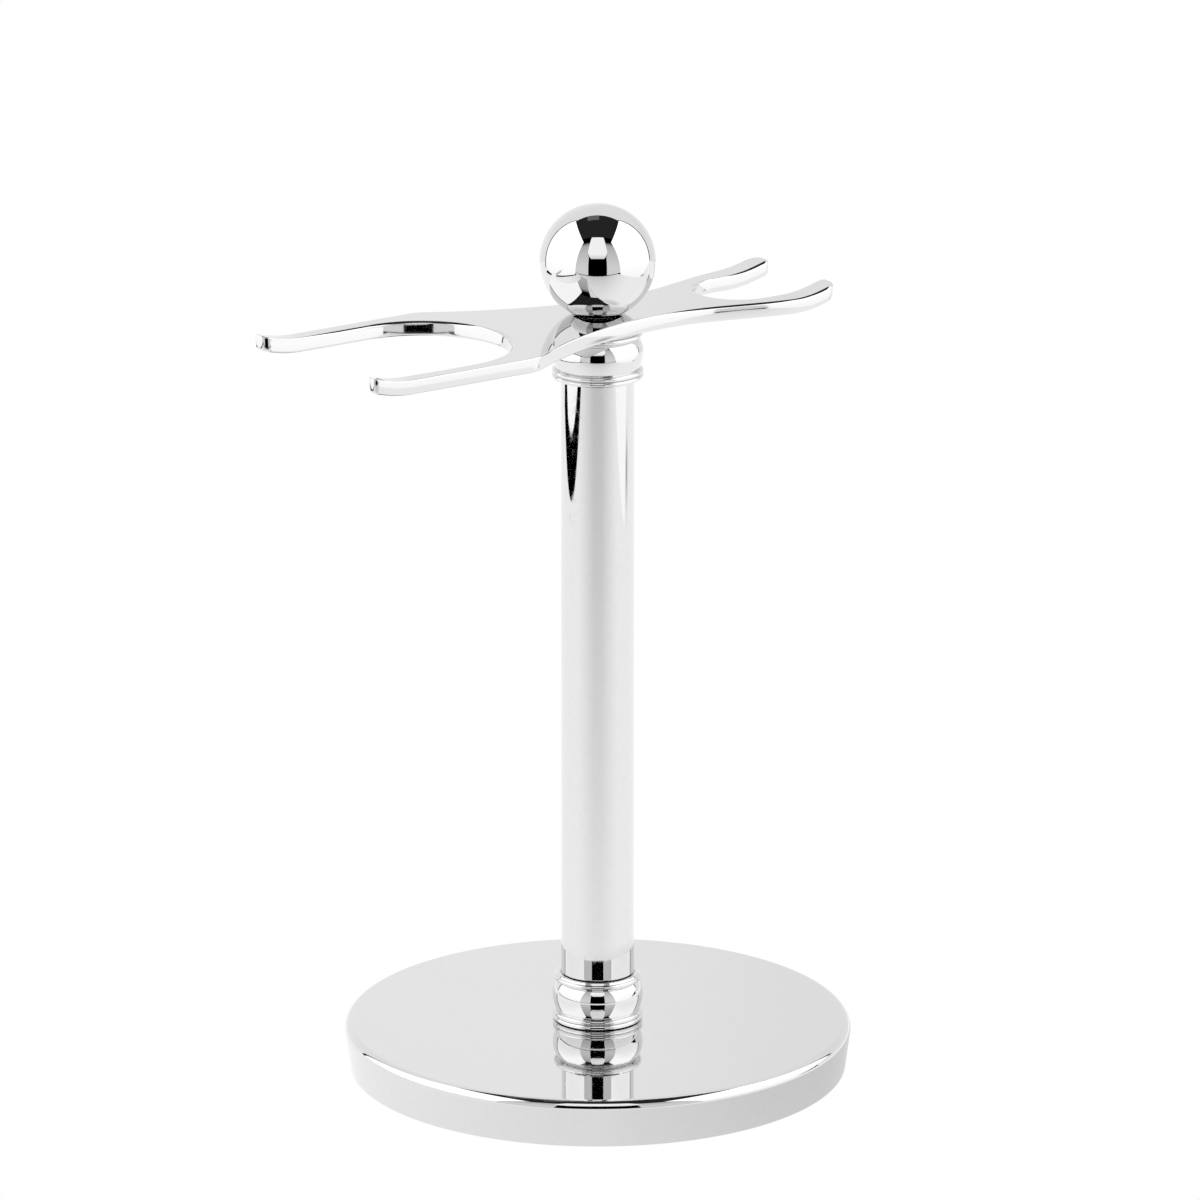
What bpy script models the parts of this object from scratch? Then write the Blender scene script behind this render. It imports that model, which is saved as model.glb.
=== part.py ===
"""Razor stand: a weighted round base, a post with a collar at each end, and a cradle plate under a ball.

Metres, +Z up. The origin is on the floor at the centre of the base. The cradle's long axis lies along X:
the wide fork, for a brush, opens towards -X, and the narrow fork, for a razor, opens towards +X.

The stand comes apart from the top. The finial ball and its stud unscrew from the upper plug, which frees
the cradle and the upper collar. One screw from below pulls the base, the lower collar and the post together.
"""

from math import acos, atan2, cos, hypot, pi, radians, sin, sqrt, tan

import bmesh
import bpy
from mathutils import Matrix, Vector

MM = 0.001

# Base: a hollow cover over a steel weight, on a soft pad that stands a little proud of the cover's rim.
BASE_RADIUS = 44.45 * MM
BASE_FOOT_RADIUS = 43.55 * MM
BASE_HEIGHT = 8.5 * MM
BASE_EDGE_ROUND = 1.5 * MM
COVER_TOP_THICKNESS = 1.2 * MM
COVER_WALL = 1.2 * MM
PAD_PROUD = 0.4 * MM
PAD_THICKNESS = 1.2 * MM

# Post and collars.
POST_RADIUS = 6.4 * MM
POST_WALL = 1.0 * MM
POST_SHOWING = 107.9 * MM
COLLAR_HEIGHT = 8.5 * MM
COLLAR_FACE_RADIUS = 7.1 * MM
COLLAR_RECESS = 1.0 * MM
COLLAR_RECESS_PLAY = 0.1 * MM
BULGE_RADIUS = 7.93 * MM
BULGE_NECK_RADIUS = 7.0 * MM
DOUBLE_BEAD_RADIUS = 7.9 * MM
SINGLE_BEAD_RADIUS = 7.75 * MM
SINGLE_BEAD_HEIGHT = 0.95 * MM
DOUBLE_BEAD_HEIGHT = 0.85 * MM
BEAD_GROOVE_DEPTH = 0.4 * MM
PLUG_LENGTH = 12.0 * MM

# Fasteners: an M5 screw with a low head and two washers below, an M4 stud above.
SCREW_RADIUS = 2.4 * MM
SCREW_HOLE_RADIUS = 2.8 * MM
SCREW_ENGAGEMENT = 8.0 * MM
SCREW_HEAD_RADIUS = 4.6 * MM
SCREW_HEAD_HEIGHT = 2.2 * MM
SCREW_HEAD_RIM_DROP = 1.0 * MM
SCREW_HEAD_DOME_RADIUS = 3.95 * MM
SCREW_HEAD_DOME_DROP = 1.85 * MM
SCREW_HEAD_FLAT_RADIUS = 2.85 * MM
HEX_SOCKET_FLATS = 3.0 * MM
HEX_SOCKET_DEPTH = 1.2 * MM
WASHER_RADIUS = 5.0 * MM
WASHER_THICKNESS = 0.9 * MM
SPRING_WASHER_RADIUS = 4.3 * MM
SPRING_WASHER_THICKNESS = 1.1 * MM
SPRING_WASHER_SPLIT = 14.0
COUNTERBORE_RADIUS = 5.6 * MM
STUD_RADIUS = 1.95 * MM
STUD_HOLE_RADIUS = 2.2 * MM
STUD_ENGAGEMENT = 7.0 * MM

# Cradle plate: a waisted plate with a round-ended slot at each end, whose four tips sweep up.
PLATE_THICKNESS = 2.7 * MM
BRUSH_SLOT_RADIUS = 15.5 * MM
BRUSH_SLOT_CENTRE_X = -36.8 * MM
BRUSH_ARM_WIDTH = 3.0 * MM
BRUSH_TIP_X = -58.4 * MM
BRUSH_TIP_ROUND = 0.7 * MM
RAZOR_SLOT_RADIUS = 7.65 * MM
RAZOR_SLOT_CENTRE_X = 29.8 * MM
RAZOR_ARM_WIDTH = 4.65 * MM
RAZOR_TIP_X = 42.5 * MM
RAZOR_TIP_OUTER_ROUND = 2.6 * MM
RAZOR_TIP_INNER_ROUND = 1.2 * MM
WAIST_HALF_WIDTH = 7.4 * MM
WAIST_X = 10.5 * MM
RAZOR_FLARE_END_X = 36.9 * MM
SHOULDER_X = -25.1 * MM
SHOULDER_ROUND = 5.0 * MM
SHOULDER_PULL = (-15.8 * MM, 12.8 * MM)
WAIST_PULL_X = -4.4 * MM
TIP_SLOPE = radians(15.0)
TIP_BEND_RADIUS = 24.6 * MM
BRUSH_BEND_X = -50.4 * MM
RAZOR_BEND_X = 33.0 * MM
BEND_STEPS = 5

# Finial ball with a small flat beneath. A thin nylon washer lies in a recess of the flat and stands proud.
BALL_RADIUS = 10.0 * MM
BALL_FLAT_DROP = 8.95 * MM
BALL_RECESS_DEPTH = 0.3 * MM
FINIAL_WASHER_RADIUS = 3.2 * MM
FINIAL_WASHER_THICKNESS = 0.3 * MM

# Clearances between neighbouring pieces.
SEAT_GAP = 0.2 * MM
FINE_GAP = 0.1 * MM
CHAMFER = 0.3 * MM

# Facets round a full turn, more of them on the larger and plainer pieces.
COVER_FACETS = 80
DISC_FACETS = 64
TUBE_FACETS = 48
COLLAR_FACETS = 40
BALL_FACETS = 40
SMALL_FACETS = 32
SPRING_WASHER_FACETS = 28
STUD_FACETS = 24
SOCKET_SIDES = 6

# Straight pieces along the curves of an outline.
BALL_ARC_PIECES = 20
BULGE_PIECES = 8
BEAD_PIECES = 4
ROUNDED_EDGE_PIECES = 6
RAZOR_SLOT_PIECES = 10
BRUSH_SLOT_PIECES = 14
FLARE_PIECES = 10
FLANK_PIECES = 12
RAZOR_CORNER_PIECES = 5
SMALL_CORNER_PIECES = 3

SHARP_ANGLE = radians(35.0)
CUTTER_OVERRUN = 0.5 * MM
WELD_DISTANCE = 0.001 * MM
SAME_POINT = 0.0001 * MM

# Heights of the main faces, worked out from the floor up.
RIM_Z = PAD_PROUD
BASE_TOP_Z = RIM_Z + BASE_HEIGHT
WEIGHT_Z = PAD_THICKNESS + SEAT_GAP
WEIGHT_TOP_Z = BASE_TOP_Z - COVER_TOP_THICKNESS - SEAT_GAP
LOWER_COLLAR_Z = BASE_TOP_Z + FINE_GAP
LOWER_COLLAR_TOP_Z = LOWER_COLLAR_Z + COLLAR_HEIGHT
UPPER_COLLAR_Z = LOWER_COLLAR_TOP_Z + POST_SHOWING
POST_Z = LOWER_COLLAR_TOP_Z - COLLAR_RECESS + FINE_GAP
POST_LENGTH = POST_SHOWING + 2 * (COLLAR_RECESS - FINE_GAP)
PLATE_Z = UPPER_COLLAR_Z + COLLAR_HEIGHT + FINE_GAP
PLATE_TOP_Z = PLATE_Z + PLATE_THICKNESS
FINIAL_WASHER_Z = PLATE_TOP_Z + FINE_GAP
BALL_FLAT_Z = FINIAL_WASHER_Z + FINIAL_WASHER_THICKNESS + FINE_GAP - BALL_RECESS_DEPTH
BALL_Z = BALL_FLAT_Z + BALL_FLAT_DROP
SCREW_HEAD_Z = WEIGHT_Z + FINE_GAP
SPRING_WASHER_Z = SCREW_HEAD_Z + SCREW_HEAD_HEIGHT + FINE_GAP
FLAT_WASHER_Z = SPRING_WASHER_Z + SPRING_WASHER_THICKNESS + FINE_GAP
COUNTERBORE_TOP_Z = FLAT_WASHER_Z + WASHER_THICKNESS + FINE_GAP
UPPER_PLUG_Z = POST_Z + POST_LENGTH - PLUG_LENGTH


def clear_scene():
    for obj in list(bpy.data.objects):
        bpy.data.objects.remove(obj, do_unlink=True)


def material(name, colour, metallic, roughness):
    made = bpy.data.materials.new(name)
    made.use_nodes = True
    shader = made.node_tree.nodes["Principled BSDF"]
    shader.inputs["Base Color"].default_value = (*colour, 1.0)
    shader.inputs["Metallic"].default_value = metallic
    shader.inputs["Roughness"].default_value = roughness
    made.diffuse_color = (*colour, 1.0)
    return made


def axis_empty(name, height):
    """An empty on the stand's vertical axis, which the pieces of one moving group are parented to."""
    empty = bpy.data.objects.new(name, None)
    empty.empty_display_size = BALL_RADIUS
    empty.location = (0, 0, height)
    bpy.context.scene.collection.objects.link(empty)
    return empty


def add_object(name, mesh, finish, parent, z):
    """Links a mesh as an object whose origin is on the vertical axis at height z."""
    obj = bpy.data.objects.new(name, mesh)
    bpy.context.scene.collection.objects.link(obj)
    obj.parent = parent
    obj.location = (0, 0, z - parent.location.z)
    mesh.materials.append(finish)
    mesh.shade_smooth()
    mesh.set_sharp_from_angle(angle=SHARP_ANGLE)
    return obj


def turned(name, profile, closed, steps, finish, parent, z):
    """A piece turned about the axis from (radius, height) points that run down its outer side."""
    mesh = bpy.data.meshes.new(name)
    points = [(radius, 0, height) for radius, height in profile]
    edges = [(i, i + 1) for i in range(len(points) - 1)]
    if closed:
        edges.append((len(points) - 1, 0))
    mesh.from_pydata(points, edges, [])
    obj = add_object(name, mesh, finish, parent, z)
    screw = obj.modifiers.new("Turn", "SCREW")
    screw.steps = steps
    screw.render_steps = steps
    screw.use_merge_vertices = True
    screw.merge_threshold = WELD_DISTANCE
    screw.use_smooth_shade = True
    return obj


def ring_profile(inner, outer, height, chamfer=0.0):
    """A plain ring's closed outline, from its top face down its outer side and back up its bore."""
    if not chamfer:
        return [(inner, height), (outer, height), (outer, 0), (inner, 0)]
    return [
        (inner, height),
        (outer - chamfer, height),
        (outer, height - chamfer),
        (outer, chamfer),
        (outer - chamfer, 0),
        (inner, 0),
    ]


def rod_profile(radius, height, chamfer):
    """A solid rod's outline from the axis at its top to the axis at its bottom."""
    return [
        (0, height),
        (radius - chamfer, height),
        (radius, height - chamfer),
        (radius, chamfer),
        (radius - chamfer, 0),
        (0, 0),
    ]


def arc(centre, radius, start, end, segments):
    """Points along an arc from one angle to another, in radians, both ends included."""
    angles = [start + (end - start) * i / segments for i in range(segments + 1)]
    return [(centre[0] + radius * cos(a), centre[1] + radius * sin(a)) for a in angles]


def crown(neck, widest, bottom, top, segments):
    """A rounded band of a turned profile, from its top down: the neck radius at both ends, widest between."""
    middle = (bottom + top) / 2
    half = (top - bottom) / 2
    rise = widest - neck
    radius = (half**2 + rise**2) / (2 * rise)
    reach = acos(max(-1.0, 1 - rise / radius))
    return arc((widest - radius, middle), radius, reach, -reach, segments)


def collar_outer_profile():
    """One bead, a barrel-shaped bulge and two beads, from the collar's top face to its bottom face."""
    bulge_bottom = 2 * DOUBLE_BEAD_HEIGHT
    bulge_top = COLLAR_HEIGHT - CHAMFER - SINGLE_BEAD_HEIGHT
    groove = DOUBLE_BEAD_RADIUS - BEAD_GROOVE_DEPTH
    points = [(COLLAR_FACE_RADIUS, COLLAR_HEIGHT)]
    points += crown(SINGLE_BEAD_RADIUS - BEAD_GROOVE_DEPTH, SINGLE_BEAD_RADIUS, bulge_top,
                    bulge_top + SINGLE_BEAD_HEIGHT, BEAD_PIECES)
    points += crown(BULGE_NECK_RADIUS, BULGE_RADIUS, bulge_bottom, bulge_top, BULGE_PIECES)
    points += crown(groove, DOUBLE_BEAD_RADIUS, DOUBLE_BEAD_HEIGHT, bulge_bottom, BEAD_PIECES)
    points += crown(groove, DOUBLE_BEAD_RADIUS, 0, DOUBLE_BEAD_HEIGHT, BEAD_PIECES)[1:]
    return points


def make_collar(name, recess_on_top, bore, finish, parent, z):
    """A collar whose recess takes the post's end, on its top face or on its bottom face."""
    recess = POST_RADIUS + COLLAR_RECESS_PLAY
    outer = collar_outer_profile()
    if recess_on_top:
        floor = COLLAR_HEIGHT - COLLAR_RECESS
        inner = [(bore, 0), (bore, floor), (recess, floor), (recess, COLLAR_HEIGHT)]
    else:
        inner = [(recess, 0), (recess, COLLAR_RECESS), (bore, COLLAR_RECESS), (bore, COLLAR_HEIGHT)]
    return turned(name, outer + inner, True, COLLAR_FACETS, finish, parent, z)


def cover_profile():
    """The hollow base cover: a flat top, and a round edge that runs smoothly into the sloping wall."""
    top = BASE_HEIGHT
    inner_top = top - COVER_TOP_THICKNESS
    shoulder = (BASE_RADIUS - BASE_EDGE_ROUND, top - BASE_EDGE_ROUND)
    across = BASE_FOOT_RADIUS - shoulder[0]
    tangent = acos(BASE_EDGE_ROUND / hypot(across, shoulder[1])) - atan2(shoulder[1], across)
    points = [(SCREW_HOLE_RADIUS, top)]
    points += arc(shoulder, BASE_EDGE_ROUND, pi / 2, tangent, ROUNDED_EDGE_PIECES)
    points += [(BASE_FOOT_RADIUS, 0), (BASE_FOOT_RADIUS - COVER_WALL, 0)]
    points += [(BASE_RADIUS - COVER_WALL, inner_top), (SCREW_HOLE_RADIUS, inner_top)]
    return points


def weight_profile():
    """The steel weight: a disc with a counterbore for the screw's head on its underside."""
    height = WEIGHT_TOP_Z - WEIGHT_Z
    radius = BASE_FOOT_RADIUS - COVER_WALL - SEAT_GAP
    seat = COUNTERBORE_TOP_Z - WEIGHT_Z
    points = ring_profile(SCREW_HOLE_RADIUS, radius, height, CHAMFER)[:-1]
    points += [(COUNTERBORE_RADIUS, 0), (COUNTERBORE_RADIUS, seat), (SCREW_HOLE_RADIUS, seat)]
    return points


def screw_profile(length):
    """The base screw from the tip of its shank down to the underside of its low domed head."""
    seat = SCREW_HEAD_HEIGHT
    points = [(0, seat + length), (SCREW_RADIUS - CHAMFER, seat + length)]
    points += [(SCREW_RADIUS, seat + length - CHAMFER), (SCREW_RADIUS, seat)]
    points += [(SCREW_HEAD_RADIUS, seat), (SCREW_HEAD_RADIUS, seat - SCREW_HEAD_RIM_DROP)]
    points += [(SCREW_HEAD_DOME_RADIUS, seat - SCREW_HEAD_DOME_DROP), (SCREW_HEAD_FLAT_RADIUS, 0), (0, 0)]
    return points


def prism_cutter(name, sides, corner_radius, low, high, parent):
    """A regular prism on the axis from one height to another, which cuts a hole and isn't itself a piece."""
    mesh = bpy.data.meshes.new(name)
    form = bmesh.new()
    bmesh.ops.create_cone(form, cap_ends=True, segments=sides, radius1=corner_radius, radius2=corner_radius,
                          depth=high - low)
    form.to_mesh(mesh)
    form.free()
    cutter = bpy.data.objects.new(name, mesh)
    bpy.context.scene.collection.objects.link(cutter)
    cutter.parent = parent
    cutter.location = (0, 0, (low + high) / 2 - parent.location.z)
    cutter.hide_render = True
    cutter.display_type = "WIRE"
    return cutter


def socket_cutter(parent, z):
    """The hexagonal socket of the screw, which reaches as far below the head's face as it cuts into it."""
    across_corners = 2 * HEX_SOCKET_FLATS / sqrt(3)
    return prism_cutter("socket_cutter", SOCKET_SIDES, across_corners / 2, z - HEX_SOCKET_DEPTH,
                        z + HEX_SOCKET_DEPTH, parent)


def make_spring_washer(finish, parent, z):
    """A split lock washer: one rectangular section carried round the axis, short of a full turn."""
    mesh = bpy.data.meshes.new("spring_washer")
    form = bmesh.new()
    inner = SCREW_HOLE_RADIUS
    outer = SPRING_WASHER_RADIUS
    half_split = radians(SPRING_WASHER_SPLIT) / 2
    corners = [(inner, 0), (outer, 0), (outer, SPRING_WASHER_THICKNESS), (inner, SPRING_WASHER_THICKNESS)]
    section = form.faces.new([form.verts.new((r, 0, height)) for r, height in corners])
    bmesh.ops.spin(form, geom=[section, *section.edges, *section.verts], cent=(0, 0, 0), axis=(0, 0, 1),
                   angle=2 * pi - 2 * half_split, steps=SPRING_WASHER_FACETS, use_duplicate=False)
    bmesh.ops.rotate(form, cent=(0, 0, 0), matrix=Matrix.Rotation(half_split, 3, "Z"), verts=form.verts)
    bmesh.ops.recalc_face_normals(form, faces=form.faces)
    form.to_mesh(mesh)
    form.free()
    return add_object("spring_washer", mesh, finish, parent, z)


def ball_profile():
    """The finial ball about its centre: a flat beneath, the washer's recess and a blind hole for the stud."""
    flat_radius = sqrt(BALL_RADIUS**2 - BALL_FLAT_DROP**2)
    end = acos(flat_radius / BALL_RADIUS)
    points = arc((0, 0), BALL_RADIUS, pi / 2, -end, BALL_ARC_PIECES)
    points[0] = (0, BALL_RADIUS)
    recess = FINIAL_WASHER_RADIUS + FINE_GAP
    recess_top = -BALL_FLAT_DROP + BALL_RECESS_DEPTH
    hole_top = -BALL_FLAT_DROP + STUD_ENGAGEMENT + FINE_GAP
    points += [(recess, -BALL_FLAT_DROP), (recess, recess_top)]
    return points + [(STUD_HOLE_RADIUS, recess_top), (STUD_HOLE_RADIUS, hole_top), (0, hole_top)]


def bezier(p0, p1, p2, p3, segments):
    """Points along a cubic Bezier curve, both ends included."""
    ends = [Vector(p) for p in (p0, p1, p2, p3)]
    points = []
    for i in range(segments + 1):
        t = i / segments
        weights = ((1 - t) ** 3, 3 * t * (1 - t) ** 2, 3 * t**2 * (1 - t), t**3)
        points.append(tuple(sum((w * p for w, p in zip(weights, ends)), Vector((0, 0)))))
    return points


def half_outline():
    """The cradle's outline for y > 0, from the razor slot's inner end round to the brush slot's inner end."""
    razor_outer = RAZOR_SLOT_RADIUS + RAZOR_ARM_WIDTH
    brush_outer = BRUSH_SLOT_RADIUS + BRUSH_ARM_WIDTH
    points = arc((RAZOR_SLOT_CENTRE_X, 0), RAZOR_SLOT_RADIUS, pi, pi / 2, RAZOR_SLOT_PIECES)
    points += arc((RAZOR_TIP_X - RAZOR_TIP_INNER_ROUND, RAZOR_SLOT_RADIUS + RAZOR_TIP_INNER_ROUND),
                  RAZOR_TIP_INNER_ROUND, -pi / 2, 0, SMALL_CORNER_PIECES)
    points += arc((RAZOR_TIP_X - RAZOR_TIP_OUTER_ROUND, razor_outer - RAZOR_TIP_OUTER_ROUND),
                  RAZOR_TIP_OUTER_ROUND, 0, pi / 2, RAZOR_CORNER_PIECES)
    for i in range(FLARE_PIECES + 1):
        part = 1 - i / FLARE_PIECES
        x = WAIST_X + (RAZOR_FLARE_END_X - WAIST_X) * part
        points.append((x, WAIST_HALF_WIDTH + (razor_outer - WAIST_HALF_WIDTH) * (1 - cos(pi * part)) / 2))
    run = Vector(SHOULDER_PULL) - Vector((SHOULDER_X, brush_outer))
    turn = acos(run.x / run.length)
    setback = SHOULDER_ROUND * tan(turn / 2)
    flank = Vector((SHOULDER_X, brush_outer)) + run.normalized() * setback
    points += bezier((WAIST_X, WAIST_HALF_WIDTH), (WAIST_PULL_X, WAIST_HALF_WIDTH), SHOULDER_PULL, flank,
                     FLANK_PIECES)[1:]
    points += arc((SHOULDER_X - setback, brush_outer - SHOULDER_ROUND), SHOULDER_ROUND,
                  pi / 2 - turn, pi / 2, SMALL_CORNER_PIECES)[1:]
    points += arc((BRUSH_TIP_X + BRUSH_TIP_ROUND, brush_outer - BRUSH_TIP_ROUND), BRUSH_TIP_ROUND,
                  pi / 2, pi, SMALL_CORNER_PIECES)
    points += arc((BRUSH_TIP_X + BRUSH_TIP_ROUND, BRUSH_SLOT_RADIUS + BRUSH_TIP_ROUND), BRUSH_TIP_ROUND,
                  pi, 3 * pi / 2, SMALL_CORNER_PIECES)
    points += arc((BRUSH_SLOT_CENTRE_X, 0), BRUSH_SLOT_RADIUS, pi / 2, 0, BRUSH_SLOT_PIECES)
    return points


def tip_rise(distance):
    """How far the plate has risen at a distance past the start of a bend."""
    bend_length = TIP_BEND_RADIUS * sin(TIP_SLOPE)
    if distance <= 0:
        return 0.0
    if distance < bend_length:
        return TIP_BEND_RADIUS - sqrt(TIP_BEND_RADIUS**2 - distance**2)
    return TIP_BEND_RADIUS * (1 - cos(TIP_SLOPE)) + (distance - bend_length) * tan(TIP_SLOPE)


def bend_distances(length):
    """Where the bend is cut into flat strips: its start, its steps, the end of the bend and the tip."""
    bend_length = TIP_BEND_RADIUS * sin(TIP_SLOPE)
    steps = [bend_length * i / BEND_STEPS for i in range(BEND_STEPS + 1)]
    return [step for step in steps if step < length] + [length]


def strip_rise(distance, cuts):
    """The rise with straight strips between the cuts, so that every face stays flat."""
    for low, high in zip(cuts, cuts[1:]):
        if low <= distance <= high:
            part = (distance - low) / (high - low)
            return tip_rise(low) + (tip_rise(high) - tip_rise(low)) * part
    return 0.0 if distance < 0 else tip_rise(cuts[-1])


def make_cradle(finish, parent):
    """The cradle plate: its outline, extruded, cut across the tips and swept up strip by strip."""
    half = half_outline()
    outline = half + [(x, -y) for x, y in reversed(half[1:-1])]
    following = outline[1:] + outline[:1]
    tidy = [p for p, q in zip(outline, following) if hypot(p[0] - q[0], p[1] - q[1]) > SAME_POINT]
    form = bmesh.new()
    face = form.faces.new([form.verts.new((x, y, 0)) for x, y in tidy])
    grown = bmesh.ops.extrude_face_region(form, geom=[face])
    top = [item for item in grown["geom"] if isinstance(item, bmesh.types.BMVert)]
    bmesh.ops.translate(form, vec=(0, 0, PLATE_THICKNESS), verts=top)
    ends = ((1, RAZOR_BEND_X, RAZOR_TIP_X), (-1, BRUSH_BEND_X, BRUSH_TIP_X))
    for side, start, tip in ends:
        cuts = bend_distances(abs(tip - start))
        for distance in cuts[:-1]:
            bmesh.ops.bisect_plane(form, geom=[*form.verts, *form.edges, *form.faces],
                                   dist=SAME_POINT,
                                   plane_co=(start + side * distance, 0, 0), plane_no=(1, 0, 0))
        for vert in form.verts:
            vert.co.z += strip_rise(side * (vert.co.x - start), cuts)
    bmesh.ops.recalc_face_normals(form, faces=form.faces)
    mesh = bpy.data.meshes.new("cradle_plate")
    form.to_mesh(mesh)
    form.free()
    return add_object("cradle_plate", mesh, finish, parent, PLATE_Z)


def cut(obj, cutter):
    boolean = obj.modifiers.new("Cut", "BOOLEAN")
    boolean.operation = "DIFFERENCE"
    boolean.solver = "EXACT"
    boolean.object = cutter


def make_base(chrome, steel, foam, zinc, parent):
    turned("base_cover", cover_profile(), True, COVER_FACETS, chrome, parent, RIM_Z)
    turned("base_weight", weight_profile(), True, DISC_FACETS, steel, parent, WEIGHT_Z)
    pad_radius = BASE_FOOT_RADIUS - COVER_WALL - SEAT_GAP
    turned("base_pad", [(0, PAD_THICKNESS), (pad_radius, PAD_THICKNESS), (pad_radius, 0), (0, 0)], False,
           DISC_FACETS, foam, parent, 0)
    shank = POST_Z + SCREW_ENGAGEMENT - SCREW_HEAD_Z - SCREW_HEAD_HEIGHT
    screw = turned("base_screw", screw_profile(shank), False, SMALL_FACETS, zinc, parent, SCREW_HEAD_Z)
    cut(screw, socket_cutter(parent, SCREW_HEAD_Z))
    make_spring_washer(zinc, parent, SPRING_WASHER_Z)
    washer_profile = ring_profile(SCREW_HOLE_RADIUS, WASHER_RADIUS, WASHER_THICKNESS)
    turned("flat_washer", washer_profile, True, SMALL_FACETS, zinc, parent, FLAT_WASHER_Z)


def make_post(chrome, brass, parent):
    make_collar("lower_collar", True, SCREW_HOLE_RADIUS, chrome, parent, LOWER_COLLAR_Z)
    turned("post_tube", ring_profile(POST_RADIUS - POST_WALL, POST_RADIUS, POST_LENGTH), True, TUBE_FACETS,
           chrome, parent, POST_Z)
    plug_radius = POST_RADIUS - POST_WALL - FINE_GAP
    turned("lower_plug", ring_profile(SCREW_RADIUS + FINE_GAP, plug_radius, PLUG_LENGTH, CHAMFER), True,
           SMALL_FACETS, brass, parent, POST_Z)
    turned("upper_plug", ring_profile(STUD_RADIUS + FINE_GAP, plug_radius, PLUG_LENGTH, CHAMFER), True,
           SMALL_FACETS, brass, parent, UPPER_PLUG_Z)
    make_collar("upper_collar", False, STUD_HOLE_RADIUS, chrome, parent, UPPER_COLLAR_Z)


def make_finial(chrome, nylon, zinc, parent):
    washer_profile = ring_profile(STUD_HOLE_RADIUS, FINIAL_WASHER_RADIUS, FINIAL_WASHER_THICKNESS)
    turned("finial_washer", washer_profile, True, SMALL_FACETS, nylon, parent, FINIAL_WASHER_Z)
    stud_z = UPPER_PLUG_Z + PLUG_LENGTH - STUD_ENGAGEMENT
    stud_length = BALL_FLAT_Z + STUD_ENGAGEMENT - stud_z
    turned("finial_stud", rod_profile(STUD_RADIUS, stud_length, CHAMFER), False, STUD_FACETS, zinc, parent,
           stud_z)
    turned("finial_ball", ball_profile(), False, BALL_FACETS, chrome, parent, BALL_Z)


def main():
    clear_scene()
    chrome = material("chrome", (0.80, 0.81, 0.83), 1.0, 0.04)
    steel = material("raw_steel", (0.30, 0.30, 0.31), 1.0, 0.45)
    foam = material("black_foam", (0.03, 0.03, 0.03), 0.0, 0.85)
    zinc = material("zinc_plate", (0.62, 0.64, 0.67), 1.0, 0.30)
    brass = material("brass", (0.75, 0.58, 0.30), 1.0, 0.30)
    nylon = material("nylon", (0.86, 0.87, 0.86), 0.0, 0.35)
    stand = axis_empty("stand_axis", 0)
    cradle = axis_empty("cradle_axis", PLATE_Z)
    finial = axis_empty("finial_axis", BALL_FLAT_Z)
    make_base(chrome, steel, foam, zinc, stand)
    make_post(chrome, brass, stand)
    plate = make_cradle(chrome, cradle)
    cut(plate, prism_cutter("stud_hole_cutter", SMALL_FACETS, STUD_HOLE_RADIUS, PLATE_Z - CUTTER_OVERRUN,
                            PLATE_TOP_Z + CUTTER_OVERRUN, cradle))
    make_finial(chrome, nylon, zinc, finial)


main()
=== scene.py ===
"""Razor stand: the detailed visual model, its light tent and its camera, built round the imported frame.

Metres, +Z up, in the same frame as the CAD. Heights come from the CAD nodes' own boxes. Each turned piece is
swept from an exact outline of lines and arcs, with the surface normals worked out from that outline, so that
the mirror finish shows no facets.
"""

from math import acos, asin, atan2, ceil, cos, exp, hypot, pi, radians, sin, sqrt, tan

import bpy
from mathutils import Matrix, Vector
from mathutils.geometry import delaunay_2d_cdt


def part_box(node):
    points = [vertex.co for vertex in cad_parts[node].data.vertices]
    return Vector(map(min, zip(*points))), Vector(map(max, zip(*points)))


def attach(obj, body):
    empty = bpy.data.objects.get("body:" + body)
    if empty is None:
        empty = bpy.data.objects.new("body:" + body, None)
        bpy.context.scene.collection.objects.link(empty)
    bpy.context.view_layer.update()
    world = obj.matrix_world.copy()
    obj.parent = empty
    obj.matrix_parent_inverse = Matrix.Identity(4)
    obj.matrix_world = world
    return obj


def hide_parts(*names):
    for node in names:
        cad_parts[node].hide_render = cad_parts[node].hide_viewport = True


MM = 0.001

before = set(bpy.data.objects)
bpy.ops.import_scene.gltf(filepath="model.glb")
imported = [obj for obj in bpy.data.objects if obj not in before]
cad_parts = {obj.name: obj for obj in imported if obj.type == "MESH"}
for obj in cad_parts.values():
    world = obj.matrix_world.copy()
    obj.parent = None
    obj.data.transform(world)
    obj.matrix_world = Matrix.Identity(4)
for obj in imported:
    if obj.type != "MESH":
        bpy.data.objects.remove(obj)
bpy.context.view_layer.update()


# ---------------- outlines


def share(value):
    """A value held between nothing and one."""
    return max(0.0, min(1.0, value))


def line(p, q):
    """A straight stretch of an outline, with the normal on its left, which is outside on the way down."""
    length = hypot(q[0] - p[0], q[1] - p[1])
    normal = ((p[1] - q[1]) / length, (q[0] - p[0]) / length)
    return [(*p, *normal), (*q, *normal)]


def arc(centre, radius, start, end, step=radians(6.0)):
    """An arc of an outline. It bulges outwards if the angle falls, and inwards if it rises."""
    count = max(2, ceil(abs(end - start) / step))
    sign = 1 if end < start else -1
    points = []
    for i in range(count + 1):
        a = start + (end - start) * i / count
        normal = (sign * cos(a), sign * sin(a))
        points.append((centre[0] + radius * cos(a), centre[1] + radius * sin(a), *normal))
    return points


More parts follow.
